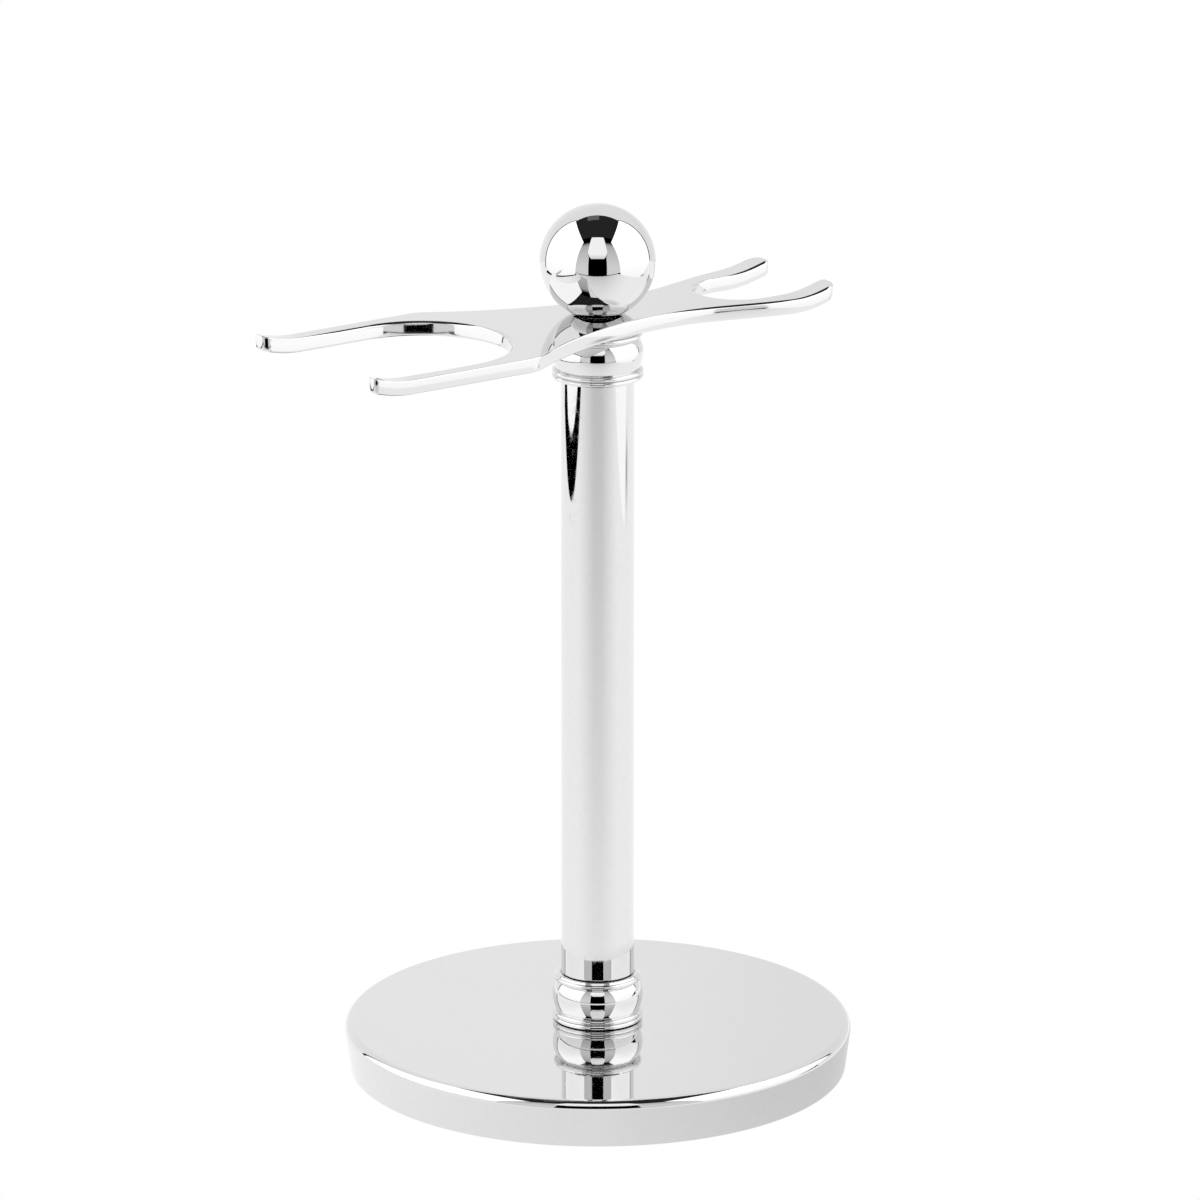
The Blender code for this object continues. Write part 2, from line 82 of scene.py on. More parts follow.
def rounded(corners, closed=True):
    """Stretches of an outline through corners (r, z, fillet), each rounded by an arc of its fillet."""
    count = len(corners)
    stretches = []
    joints = []
    for i, (r, z, fillet) in enumerate(corners):
        here = Vector((r, z))
        if not closed and i in (0, count - 1):
            joints.append((here, here, None))
            continue
        before = Vector(corners[i - 1][:2]) - here
        after = Vector(corners[(i + 1) % count][:2]) - here
        if fillet <= 0:
            joints.append((here, here, None))
            continue
        a, b = before.normalized(), after.normalized()
        half = acos(max(-1.0, min(1.0, a.dot(b)))) / 2
        setback = fillet / tan(half)
        middle = here + (a + b).normalized() * (fillet / sin(half))
        first, last = here + a * setback, here + b * setback
        start = atan2(first.y - middle.y, first.x - middle.x)
        end = atan2(last.y - middle.y, last.x - middle.x)
        end += 2 * pi * round((start - end) / (2 * pi))
        joints.append((first, last, arc(tuple(middle), fillet, start, end, radians(9.0))))
    for i in range(count if closed else count - 1):
        bend = joints[i][2]
        if bend:
            stretches.append(("edge", bend))
        p, q = joints[i][1], joints[(i + 1) % count][0]
        if (q - p).length > 1e-7:
            stretches.append(("flat", line(tuple(p), tuple(q))))
    return stretches


def ring_section(inner, outer, height, inner_round, outer_round):
    """The outline of a plain ring with eased edges."""
    return rounded([(inner, height, inner_round), (outer, height, outer_round), (outer, 0.0, outer_round),
                    (inner, 0.0, inner_round)])


def crown(neck, widest, bottom, top):
    """A rounded band of a turned outline from its top down: the neck radius at both ends, widest between."""
    middle, half, rise = (bottom + top) / 2, (top - bottom) / 2, widest - neck
    radius = (half**2 + rise**2) / (2 * rise)
    reach = acos(1 - rise / radius)
    return arc((widest - radius, middle), radius, reach, -reach, radians(5.0))


# ---------------- meshes


def finish_mesh(name, vertices, faces, corner_normals, edge_weights, body, replaced, finish,
                cut_weights=None):
    """Makes a piece, gives it its exact normals and its edge and cut weights, and ties it to the frame."""
    mesh = bpy.data.meshes.new(name)
    mesh.from_pydata(vertices, [], faces)
    mesh.update()
    weights = mesh.attributes.new("edge", "FLOAT", "POINT")
    weights.data.foreach_set("value", edge_weights)
    if cut_weights:
        mesh.attributes.new("cut", "FLOAT", "POINT").data.foreach_set("value", cut_weights)
    mesh.shade_smooth()
    if corner_normals:
        mesh.normals_split_custom_set(corner_normals)
    obj = bpy.data.objects.new(name, mesh)
    bpy.context.scene.collection.objects.link(obj)
    mesh.materials.append(finish)
    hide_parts(replaced)
    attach(obj, body)
    return obj


def turned(name, stretches, z, segments, body, replaced, finish):
    """A piece swept round the axis from the stretches of its outline, at height z."""
    vertices, faces, normals, weights, rings = [], [], [], [], {}

    def ring(r, height, weight):
        key = (round(r * 1e8), round(height * 1e8))
        if key not in rings:
            count = 1 if r < 1e-7 else segments
            rings[key] = (len(vertices), count)
            for j in range(count):
                a = 2 * pi * j / segments
                vertices.append((r * cos(a), r * sin(a), z + height))
                weights.append(weight)
        elif weight > weights[rings[key][0]]:
            start, count = rings[key]
            weights[start:start + count] = [weight] * count
        return rings[key]

    for kind, points in stretches:
        weight = 1.0 if kind == "edge" else 0.0
        for p, q in zip(points, points[1:]):
            (a, a_count), (b, b_count) = ring(p[0], p[1], weight), ring(q[0], q[1], weight)
            for j in range(segments):
                k = (j + 1) % segments
                t, u = 2 * pi * j / segments, 2 * pi * (j + 1) / segments
                corners = [(a + j, p, t), (b + j, q, t), (b + k, q, u), (a + k, p, u)]
                if a_count == 1:
                    corners = [(a, p, (t + u) / 2), (b + j, q, t), (b + k, q, u)]
                elif b_count == 1:
                    corners = [(a + j, p, t), (b, q, (t + u) / 2), (a + k, p, u)]
                faces.append([index for index, _, _ in corners])
                normals += [(n[2] * cos(w), n[2] * sin(w), n[3]) for _, n, w in corners]
    return finish_mesh(name, vertices, faces, normals, weights, body, replaced, finish)


def band(first, second, count):
    """The faces between two closed rings of count vertices each, from the rings' first vertices."""
    return [[first + j, first + (j + 1) % count, second + (j + 1) % count, second + j] for j in range(count)]


THREAD_RUN_OUT = 1.2
THREAD_POINT = 0.5 * MM
THREAD_POINT_DROP = 0.35 * MM
PLAIN_SHANK = 0.35


def threaded(name, thread, z, length, cut, head, body, replaced, finish):
    """A rod from height z up, threaded between the two heights in cut, with a head's rings below its foot.

    A thread is its crest radius, root radius and pitch. It runs out over THREAD_RUN_OUT turns into the plain
    shank, which stands PLAIN_SHANK of the way from root to crest. A ring of the head is (radius, height).
    Its radius may be a function of the angle, and the last ring is a single point.
    """
    radius, core, pitch = thread
    segments, per_turn = 72, 12
    rows = ceil(length / pitch * per_turn)
    run_out = pitch * THREAD_RUN_OUT
    vertices, faces, weights = [], [], []

    def add(r, angle, height, weight):
        vertices.append((r * cos(angle), r * sin(angle), z + height))
        weights.append(weight)

    for i in range(rows + 1):
        height = length * i / rows
        fade = min(share((height - cut[0]) / run_out), share((cut[1] - height) / run_out))
        tip = min(1.0, (length - height) / THREAD_POINT)
        low = core - (1 - tip) * THREAD_POINT_DROP
        high = min(radius, low + (radius - core) * tip)
        for j in range(segments):
            wave = (height / pitch - j / segments) % 1.0
            ridge = share(1.25 - abs(wave - 0.5) * 3.2)
            depth = ridge * fade + (1 - fade) * PLAIN_SHANK
            add(low + (high - low) * depth, 2 * pi * j / segments, height, ridge * fade)
    last, top = rows * segments, len(vertices)
    for start in range(0, last, segments):
        faces += band(start, start + segments, segments)
    add(0.0, 0.0, length, 0.0)
    faces += [[last + j, last + (j + 1) % segments, top] for j in range(segments)]
    previous = 0
    for r, height in head[:-1]:
        start = len(vertices)
        for j in range(segments):
            angle = 2 * pi * j / segments
            add(r(angle) if callable(r) else r, angle, height, 0.5)
        faces += band(start, previous, segments)
        previous = start
    centre = len(vertices)
    add(0.0, 0.0, head[-1][1], 0.0)
    faces += [[previous + (j + 1) % segments, previous + j, centre] for j in range(segments)]
    return finish_mesh(name, vertices, faces, None, weights, body, replaced, finish)


# ---------------- materials


class Nodes:
    """A short way to write a material's nodes."""

    def __init__(self, name):
        self.material = bpy.data.materials.new(name)
        self.material.use_nodes = True
        self.tree = self.material.node_tree
        self.shader = self.tree.nodes["Principled BSDF"]

    def add(self, kind, inputs=(), **settings):
        node = self.tree.nodes.new(kind)
        for key, value in settings.items():
            setattr(node, key, value)
        for key, value in dict(inputs).items():
            self.put(node.inputs[key], value)
        return node

    def put(self, socket, value):
        if isinstance(value, bpy.types.NodeSocket):
            self.tree.links.new(value, socket)
        else:
            socket.default_value = value

    def math(self, operation, a, b=0.0, clamp=False):
        node = self.add("ShaderNodeMath", operation=operation, use_clamp=clamp)
        self.put(node.inputs[0], a)
        self.put(node.inputs[1], b)
        return node.outputs[0]

    def times(self, a, b):
        return self.math("MULTIPLY", a, b)

    def minus(self, a, b):
        return self.math("SUBTRACT", a, b)

    def total(self, first, *others):
        for other in others:
            first = self.math("ADD", first, other)
        return first

    def noise(self, vector, scale, detail=3.0, roughness=0.55):
        node = self.add("ShaderNodeTexNoise", {"Vector": vector, "Scale": scale, "Detail": detail,
                                                "Roughness": roughness})
        return node.outputs["Fac"]

    def span(self, value, low, high, to_low, to_high):
        node = self.add("ShaderNodeMapRange", {"Value": value, "From Min": low, "From Max": high,
                                                "To Min": to_low, "To Max": to_high})
        return node.outputs["Result"]

    def blend(self, factor, a, b):
        node = self.add("ShaderNodeMix", {"Factor": factor}, data_type="RGBA")
        self.put(node.inputs[6], a)
        self.put(node.inputs[7], b)
        return node.outputs[2]

    def scaled(self, vector, scale):
        return self.add("ShaderNodeMapping", {"Vector": vector, "Scale": scale}).outputs["Vector"]

    def object_space(self):
        return self.add("ShaderNodeTexCoord").outputs["Object"]

    def attribute(self, name):
        """A weight that finish_mesh wrote: edge on worked edges, and cut on the plate's cut sides."""
        return self.add("ShaderNodeAttribute", attribute_name=name).outputs["Fac"]

    def round_axis(self, vector):
        """Radius, angle and height about the stand's axis, for marks that turning and polishing leave."""
        parts = self.add("ShaderNodeSeparateXYZ", {"Vector": vector}).outputs
        square = self.total(self.math("POWER", parts[0], 2.0), self.math("POWER", parts[1], 2.0))
        return self.math("SQRT", square), self.math("ARCTAN2", parts[1], parts[0]), parts[2]

    def bump(self, height, strength, distance, before=None):
        node = self.add("ShaderNodeBump", {"Height": height, "Strength": strength, "Distance": distance})
        if before is not None:
            self.put(node.inputs["Normal"], before)
        return node.outputs["Normal"]


CHROME_COLOUR = (0.750, 0.750, 0.750, 1.0)
CHROME_HAZE = (0.705, 0.706, 0.708, 1.0)
FOAM_BLACK = (0.018, 0.018, 0.019, 1.0)
FOAM_DUST = (0.075, 0.074, 0.072, 1.0)
NYLON_MILK = (0.86, 0.87, 0.85, 1.0)
NYLON_CLOUD = (0.74, 0.75, 0.72, 1.0)
POLISH_DEPTH = 0.02 * MM
POLISH_DENSITY = 900.0
TOOL_DENSITY = 1200.0


def turning_lines(n, where, density, along):
    """Where the rings of turning or polishing lie: tight across the rings, and long round the axis."""
    radius, angle, height = n.round_axis(where)
    return n.add("ShaderNodeCombineXYZ", {"X": n.times(radius, density), "Y": n.times(angle, along),
                                          "Z": n.times(height, density)}).outputs[0]


def chrome(name, lay, wear=1.0):
    """Mirror chrome plate. Its last polish ran round the axis, along the post, or straight along X."""
    n = Nodes(name)
    where = n.object_space()
    if lay == "round":
        lines = turning_lines(n, where, POLISH_DENSITY, 0.6)
    elif lay == "along":
        _, angle, height = n.round_axis(where)
        lines = n.add("ShaderNodeCombineXYZ", {"X": n.times(angle, 1.1), "Y": 0.0,
                                               "Z": n.times(height, 6.0)}).outputs[0]
    else:
        lines = n.scaled(where, (20.0, POLISH_DENSITY, POLISH_DENSITY))
    polish = n.noise(lines, 4.0, 4.0, 0.6)
    haze = n.noise(where, 38.0, 4.0, 0.6)
    handling = n.span(n.noise(where, 115.0, 5.0, 0.65), 0.52, 0.78, 0.0, 1.0)
    worn_edge = n.times(n.attribute("edge"), n.span(n.noise(where, 900.0, 3.0), 0.42, 0.70, 0.0, 1.0))
    roughness = n.total(n.span(haze, 0.3, 0.7, 0.010, 0.020), n.times(polish, 0.005),
                        n.times(handling, 0.012 * wear), n.times(worn_edge, 0.05 * wear))
    tone = n.total(n.span(haze, 0.45, 0.85, 0.0, 0.25), n.times(worn_edge, 0.35 * wear))
    if lay == "straight":
        cut = n.attribute("cut")
        buffed = n.noise(n.scaled(where, (90.0, 90.0, 400.0)), 1.0, 3.0, 0.6)
        roughness = n.total(roughness, n.times(cut, n.span(buffed, 0.35, 0.65, 0.02, 0.07)))
        ripple = n.times(cut, n.noise(n.scaled(where, (160.0, 160.0, 60.0)), 1.0, 2.0, 0.5))
        polish = n.total(n.times(polish, 0.2), n.times(ripple, 8.0))
    fine = n.bump(polish, 0.015, POLISH_DEPTH)
    n.put(n.shader.inputs["Base Color"], n.blend(tone, CHROME_COLOUR, CHROME_HAZE))
    n.put(n.shader.inputs["Roughness"], roughness)
    n.put(n.shader.inputs["Normal"], n.bump(n.noise(where, 120.0, 1.0), 0.03, POLISH_DEPTH, fine))
    n.shader.inputs["Metallic"].default_value = 1.0
    return n.material


def satin_metal(name, colour, dark, rough):
    """Turned or plated metal with visible tool marks, mottled tone and brighter rubbed edges."""
    n = Nodes(name)
    where = n.object_space()
    marks = n.noise(turning_lines(n, where, TOOL_DENSITY, 0.5), 3.0, 4.0, 0.65)
    mottle = n.noise(where, 420.0, 5.0, 0.6)
    rubbed = n.times(n.attribute("edge"), n.span(mottle, 0.35, 0.65, 0.2, 1.0))
    tone = n.math("SUBTRACT", n.span(mottle, 0.3, 0.75, 0.0, 0.8), n.times(rubbed, 0.5), clamp=True)
    spread = n.total(n.span(marks, 0.3, 0.7, rough - 0.08, rough + 0.10), n.times(rubbed, -0.10))
    n.put(n.shader.inputs["Base Color"], n.blend(tone, (*colour, 1.0), (*dark, 1.0)))
    n.put(n.shader.inputs["Roughness"], n.math("MAXIMUM", spread, 0.08))
    n.put(n.shader.inputs["Normal"], n.bump(marks, 0.35, 0.04 * MM, n.bump(mottle, 0.12, 0.05 * MM)))
    n.shader.inputs["Metallic"].default_value = 1.0
    return n.material


def foam(name):
    """Black closed-cell foam: fine pits and a dusty bloom."""
    n = Nodes(name)
    where = n.object_space()
    cells = n.add("ShaderNodeTexVoronoi", {"Vector": where, "Scale": 2600.0}, feature="F1")
    pits = cells.outputs["Distance"]
    dust = n.span(n.noise(where, 160.0, 5.0, 0.7), 0.45, 0.8, 0.0, 1.0)
    n.put(n.shader.inputs["Base Color"], n.blend(dust, FOAM_BLACK, FOAM_DUST))
    n.put(n.shader.inputs["Roughness"], n.span(pits, 0.0, 0.6, 0.98, 0.78))
    n.put(n.shader.inputs["Normal"], n.bump(pits, 0.6, 0.15 * MM, n.bump(dust, 0.2, 0.1 * MM)))
    n.shader.inputs["Specular IOR Level"].default_value = 0.25
    return n.material


def nylon(name):
    """Natural nylon: milky, a little light passing through, faint moulding texture and scuffed edges."""
    n = Nodes(name)
    where = n.object_space()
    cloud = n.noise(where, 500.0, 4.0, 0.6)
    scuff = n.times(n.attribute("edge"), n.span(n.noise(where, 2200.0, 3.0), 0.4, 0.7, 0.0, 1.0))
    tone = n.total(n.times(cloud, 0.5), n.times(scuff, 0.3))
    n.put(n.shader.inputs["Base Color"], n.blend(tone, NYLON_MILK, NYLON_CLOUD))
    n.put(n.shader.inputs["Roughness"], n.total(n.span(cloud, 0.3, 0.7, 0.28, 0.42), n.times(scuff, 0.2)))
    n.put(n.shader.inputs["Normal"], n.bump(cloud, 0.15, 0.03 * MM))
    n.shader.inputs["Subsurface Weight"].default_value = 0.3
    n.shader.inputs["Subsurface Radius"].default_value = (0.001, 0.001, 0.0009)
    return n.material


CHROME_BASE = chrome("chrome_base", "round")
CHROME_TURNED = chrome("chrome_turned", "round")
CHROME_TUBE = chrome("chrome_tube", "along")
CHROME_PLATE = chrome("chrome_plate", "straight")
CHROME_BALL = chrome("chrome_ball", "round", 0.6)
RAW_STEEL = satin_metal("raw_steel", (0.34, 0.34, 0.35), (0.20, 0.19, 0.18), 0.42)
ZINC = satin_metal("zinc_plate", (0.66, 0.68, 0.71), (0.50, 0.52, 0.54), 0.28)
BRASS = satin_metal("brass", (0.78, 0.60, 0.30), (0.55, 0.38, 0.16), 0.26)
BLACK_FOAM = foam("black_foam")
NYLON = nylon("nylon")


# ---------------- base

COVER_LOW, COVER_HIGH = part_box("base_cover")
WEIGHT_LOW, WEIGHT_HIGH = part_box("base_weight")
PAD_LOW, PAD_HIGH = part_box("base_pad")
SCREW_LOW, SCREW_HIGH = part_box("base_screw")
BASE_RADIUS = COVER_HIGH.x
BASE_HEIGHT = COVER_HIGH.z - COVER_LOW.z
BASE_EDGE_ROUND = 1.5 * MM
FOOT_RADIUS = BASE_RADIUS - 0.9 * MM
FOOT_ROUND = 0.45 * MM
COVER_WALL = 1.2 * MM
COVER_INNER_ROUND = 0.5 * MM
SCREW_HOLE = 2.8 * MM
HOLE_ROUND = 0.15 * MM
COUNTERBORE_RADIUS = 5.6 * MM
COUNTERBORE_DEPTH = 4.5 * MM
M5_THREAD = (2.4 * MM, 2.02 * MM, 0.8 * MM)
HEAD_HEIGHT = 2.2 * MM
SOCKET_FLATS = 3.0 * MM
SOCKET_MOUTH_FLATS = 3.25 * MM
SPRING_WASHER_RADIUS = 4.3 * MM


def base_cover():
    """The pressed cover: a thin shell with a flat top, a rounded edge and a wall that narrows downwards."""
    across = FOOT_RADIUS - BASE_RADIUS + BASE_EDGE_ROUND
    down = BASE_HEIGHT - BASE_EDGE_ROUND
    wall_lean = atan2(down, across) - acos(BASE_EDGE_ROUND / hypot(across, down))
    outline = rounded([
        (SCREW_HOLE, BASE_HEIGHT, HOLE_ROUND),
        (FOOT_RADIUS + BASE_HEIGHT * tan(wall_lean), BASE_HEIGHT, BASE_EDGE_ROUND),
        (FOOT_RADIUS, 0.0, FOOT_ROUND),
        (FOOT_RADIUS - COVER_WALL, 0.0, FOOT_ROUND),
        (BASE_RADIUS - COVER_WALL, BASE_HEIGHT - COVER_WALL, COVER_INNER_ROUND),
        (SCREW_HOLE, BASE_HEIGHT - COVER_WALL, HOLE_ROUND),
    ])
    turned("base_cover_plated", outline, COVER_LOW.z, 512, "stand", "base_cover", CHROME_BASE)


def base_weight():
    """The disc that fills the cover, with a counterbore below for the screw's head and washers."""
    height, radius = WEIGHT_HIGH.z - WEIGHT_LOW.z, WEIGHT_HIGH.x
    outline = rounded([
        (SCREW_HOLE, height, 0.2 * MM),
        (radius, height, 0.3 * MM),
        (radius, 0.0, 0.3 * MM),
        (COUNTERBORE_RADIUS, 0.0, 0.2 * MM),
        (COUNTERBORE_RADIUS, COUNTERBORE_DEPTH, 0.0),
        (SCREW_HOLE, COUNTERBORE_DEPTH, HOLE_ROUND),
    ])
    turned("base_weight_turned", outline, WEIGHT_LOW.z, 256, "stand", "base_weight", RAW_STEEL)


def base_pad():
    """The foam disc that the stand rests on."""
    height, radius = PAD_HIGH.z - PAD_LOW.z, PAD_HIGH.x
    outline = rounded([(0.0, height, 0.0), (radius, height, 0.15 * MM), (radius, 0.0, 0.25 * MM),
                       (0.0, 0.0, 0.0)], closed=False)
    turned("base_pad_foam", outline, PAD_LOW.z, 256, "stand", "base_pad", BLACK_FOAM)


def washer(name, node, hole, fillet, body, finish):
    """A flat ring with eased edges that fills its node's box."""
    low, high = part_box(node)
    outline = ring_section(hole, high.x, high.z - low.z, fillet, fillet)
    turned(name, outline, low.z, 128, body, node, finish)


def hexagon(flats):
    """The radius of a hexagon as a function of the angle, from its width across flats."""
    return lambda a: flats / 2 / cos((a % (pi / 3)) - pi / 6)


def base_screw():
    """The low-head screw, head down: a domed head with a hexagonal socket, and a thread up to its end."""
    total = SCREW_HIGH.z - SCREW_LOW.z
    rim = [(2.5, -0.02), (4.45, 0.0), (4.6, -0.12)]
    dome = [(4.6, -1.0), (4.5, -1.3), (4.25, -1.62), (3.95, -1.85), (3.5, -2.05), (2.95, -2.19), (2.2, -2.2)]
    head = [(r * MM, height * MM) for r, height in rim + dome]
    head += [(hexagon(SOCKET_MOUTH_FLATS), -HEAD_HEIGHT), (hexagon(SOCKET_FLATS), -2.08 * MM),
             (hexagon(SOCKET_FLATS), -1.0 * MM), (0.0, -0.8 * MM)]
    threaded("base_screw_plated", M5_THREAD, SCREW_LOW.z + HEAD_HEIGHT, total - HEAD_HEIGHT,
             (1.0 * MM, total), head, "stand", "base_screw", ZINC)


def spring_washer():
    """The split lock washer: a rounded square section carried round the axis, short of a full turn."""
    low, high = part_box("spring_washer")
    section = []
    for _, points in ring_section(SCREW_HOLE, SPRING_WASHER_RADIUS, high.z - low.z, HOLE_ROUND, HOLE_ROUND):
        section += [p[:2] for p in points[:-1]]
    steps, half_split = 120, radians(7.0)
    size = len(section)
    vertices, faces = [], []
    for i in range(steps + 1):
        a = half_split + (2 * pi - 2 * half_split) * i / steps
        vertices += [(r * cos(a), r * sin(a), low.z + height) for r, height in section]
    for start in range(0, steps * size, size):
        faces += band(start, start + size, size)
    faces += [list(range(size))[::-1], list(range(steps * size, (steps + 1) * size))]
    obj = finish_mesh("spring_washer_plated", vertices, faces, None, [0.4] * len(vertices), "stand",
                      "spring_washer", ZINC)
    obj.data.set_sharp_from_angle(angle=radians(40.0))


base_cover()
base_weight()
base_pad()
washer("flat_washer_plated", "flat_washer", SCREW_HOLE, 0.12 * MM, "stand", ZINC)
base_screw()
spring_washer()


# ---------------- post and collars

POST_LOW, POST_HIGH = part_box("post_tube")
POST_RADIUS = POST_HIGH.x
POST_WALL = 1.0 * MM
SPIGOT_RADIUS = POST_RADIUS - 0.35 * MM
SHOULDER = 0.32 * MM
COLLAR_RECESS = 1.0 * MM
COLLAR_FACE = 7.2 * MM
COLLAR_LIP = 0.12 * MM
COLLAR_BEVEL = radians(35.0)
SEAM = 0.03 * MM
BULGE_RADIUS = 7.93 * MM
BULGE_WIDEST = 4.38 * MM
BULGE_TIGHT = 4.4 * MM
BULGE_EASY = 7.1 * MM
BULGE_CHANGE = radians(-6.0)
BEAD = 0.85 * MM
SINGLE_ROOT = 7.35 * MM
SINGLE_CREST = 7.75 * MM
DOUBLE_ROOT = 7.5 * MM
DOUBLE_CREST = 7.9 * MM
CHAMFER = 0.3 * MM
STUD_HOLE = 2.2 * MM


def barrel(widest_radius, bottom, widest, top):
    """The bulge from its top down: a tight curve past its widest height, then an easier one to its foot."""
    upper_tilt = asin((top - widest) / BULGE_TIGHT)
    centre_r = widest_radius - BULGE_TIGHT
    tight = arc((centre_r, widest), BULGE_TIGHT, upper_tilt, BULGE_CHANGE, radians(4.0))
    shift = BULGE_EASY - BULGE_TIGHT
    easy_r, easy_z = centre_r - shift * cos(BULGE_CHANGE), widest - shift * sin(BULGE_CHANGE)
    lower_tilt = asin((bottom - easy_z) / BULGE_EASY)
    return tight[:-1] + arc((easy_r, easy_z), BULGE_EASY, BULGE_CHANGE, lower_tilt, radians(4.0))


def collar(name, node, recess_on_top, bore):
    """A turned collar: a bead, a barrel-shaped bulge and two beads below it, with a recess for the post."""
    low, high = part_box(node)
    height = high.z - low.z
    bulge_top = height - CHAMFER - BEAD
    bulge_bottom = 2 * BEAD
    bulge = barrel(BULGE_RADIUS, bulge_bottom, BULGE_WIDEST, bulge_top)
    recess = POST_RADIUS + SEAM
    lip_r, lip_z = COLLAR_FACE - COLLAR_LIP, height - COLLAR_LIP
    bead = crown(SINGLE_ROOT, SINGLE_CREST, bulge_top, bulge_top + BEAD)
    rim = arc((lip_r, lip_z), COLLAR_LIP, pi / 2, COLLAR_BEVEL, radians(10.0))
    if recess_on_top:
        step = height - COLLAR_RECESS
        inner = [(bore, 0.0), (bore, step), (recess, step), (recess, lip_z)]
        mouth = arc((recess + COLLAR_LIP, lip_z), COLLAR_LIP, pi, pi / 2, radians(10.0))
        top = [("edge", mouth), ("flat", line((recess + COLLAR_LIP, height), (lip_r, height)))]
    else:
        inner = [(recess, 0.0), (recess, COLLAR_RECESS), (bore, COLLAR_RECESS), (bore, height)]
        top = [("flat", line((bore, height), (lip_r, height)))]
    stretches = top + [
        ("edge", rim),
        ("flat", line(rim[-1][:2], bead[0][:2])),
        ("edge", bead),
        ("flat", line((SINGLE_ROOT, bulge_top), bulge[0][:2])),
        ("flat", bulge),
        ("flat", line(bulge[-1][:2], (DOUBLE_ROOT, bulge_bottom))),
        ("edge", crown(DOUBLE_ROOT, DOUBLE_CREST, BEAD, bulge_bottom)),
        ("edge", crown(DOUBLE_ROOT, DOUBLE_CREST, 0.0, BEAD)),
        ("flat", line((DOUBLE_ROOT, 0.0), inner[0])),
    ]
    stretches += [("flat", line(p, q)) for p, q in zip(inner, inner[1:])]
    turned(name, stretches, low.z, 256, "stand", node, CHROME_TURNED)


def post_tube():
    """The tube, with a turned-down spigot at each end that sits in a collar."""
    height = POST_HIGH.z - POST_LOW.z
    spigot = COLLAR_RECESS - 0.07 * MM
    outline = rounded([
        (POST_RADIUS - POST_WALL, height, 0.1 * MM),
        (SPIGOT_RADIUS, height, 0.15 * MM),
        (SPIGOT_RADIUS, height - spigot, 0.0),
        (POST_RADIUS, height - spigot, SHOULDER),
        (POST_RADIUS, spigot, SHOULDER),
        (SPIGOT_RADIUS, spigot, 0.0),
        (SPIGOT_RADIUS, 0.0, 0.15 * MM),
        (POST_RADIUS - POST_WALL, 0.0, 0.1 * MM),
    ])
    turned("post_tube_plated", outline, POST_LOW.z, 256, "stand", "post_tube", CHROME_TUBE)


def plug(name, node, bore):
    """A brass plug with eased edges and a bore for a thread."""
    low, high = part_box(node)
    outline = ring_section(bore, high.x, high.z - low.z, 0.25 * MM, 0.3 * MM)
    turned(name, outline, low.z, 128, "stand", node, BRASS)


collar("lower_collar_plated", "lower_collar", True, SCREW_HOLE)
collar("upper_collar_plated", "upper_collar", False, STUD_HOLE)
post_tube()
plug("lower_plug_turned", "lower_plug", 2.5 * MM)
plug("upper_plug_turned", "upper_plug", 2.05 * MM)


# ---------------- cradle plate

PLATE_LOW, PLATE_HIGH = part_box("cradle_plate")
PLATE_THICKNESS = 2.7 * MM
PLATE_TOP_ROUND = 0.26 * MM
PLATE_BOTTOM_ROUND = 0.50 * MM
PLATE_BEVEL = 0.34 * MM
# Tilts, crowns and leans are in degrees.
BEVEL_TILT = 54.0
BEVEL_SPREAD = 7.0
RAZOR_SIDE_CROWN = 7.0
BRUSH_SIDE_CROWN = 2.6
SLOT_LEAN = 3.2
SIDE_LEAN = -1.2
SLOT_FADE = 1.5 * MM
SLOT_BEVEL_X = (-50.0 * MM, -43.0 * MM)
BEVEL_X = (-8.0 * MM, 2.0 * MM)
RAZOR_CROWN_X = (-5.0 * MM, 5.0 * MM)
CAP_INSET = 0.75 * MM
OUTLINE_STEP = 0.45 * MM
NET_FLAT = 1.1 * MM
NET_BENT_X = 0.45 * MM
NET_BENT_Y = 0.75 * MM
NET_HALF_WIDTH = 19.0 * MM
NET_CLEARANCE = 1.0 * MM
BRUSH_SLOT_RADIUS = 15.5 * MM
BRUSH_SLOT_CENTRE_X = -36.8 * MM
BRUSH_ARM_WIDTH = 3.0 * MM
BRUSH_TIP_OUTER_ROUND = 0.9 * MM
BRUSH_TIP_INNER_ROUND = 1.8 * MM
RAZOR_SLOT_RADIUS = 7.65 * MM
RAZOR_SLOT_CENTRE_X = 29.8 * MM
RAZOR_ARM_WIDTH = 4.65 * MM
RAZOR_TIP_OUTER_ROUND = 2.6 * MM
RAZOR_TIP_INNER_ROUND = 1.2 * MM
WAIST_HALF_WIDTH = 7.4 * MM
WAIST_X = 10.5 * MM
RAZOR_FLARE_END_X = 36.9 * MM
SHOULDER_X = -25.1 * MM
SHOULDER_ROUND = 5.0 * MM
SHOULDER_PULL = (-15.8 * MM, 12.8 * MM)
WAIST_PULL_X = -4.4 * MM
TIP_SLOPE = radians(15.0)
TIP_BEND_RADIUS = 24.6 * MM
BRUSH_BEND_X = -50.4 * MM
RAZOR_BEND_X = 33.0 * MM


def flat_arc(cx, cy, radius, start, end, step=0.25 * MM):
    """Points (x, y) along an arc in the plate's plane."""
    count = max(4, ceil(abs(end - start) * radius / step))
    angles = [start + (end - start) * i / count for i in range(count + 1)]
    return [(cx + radius * cos(a), cy + radius * sin(a)) for a in angles]


def bezier(p0, p1, p2, p3, count):
    """Points (x, y) along a cubic curve with two end points and two pulls."""
    ends = [Vector(p) for p in (p0, p1, p2, p3)]
    points = []
    for i in range(count + 1):
        t = i / count
        weights = ((1 - t) ** 3, 3 * t * (1 - t) ** 2, 3 * t**2 * (1 - t), t**3)
        points.append(tuple(sum((w * p for w, p in zip(weights, ends)), Vector((0, 0)))))
    return points


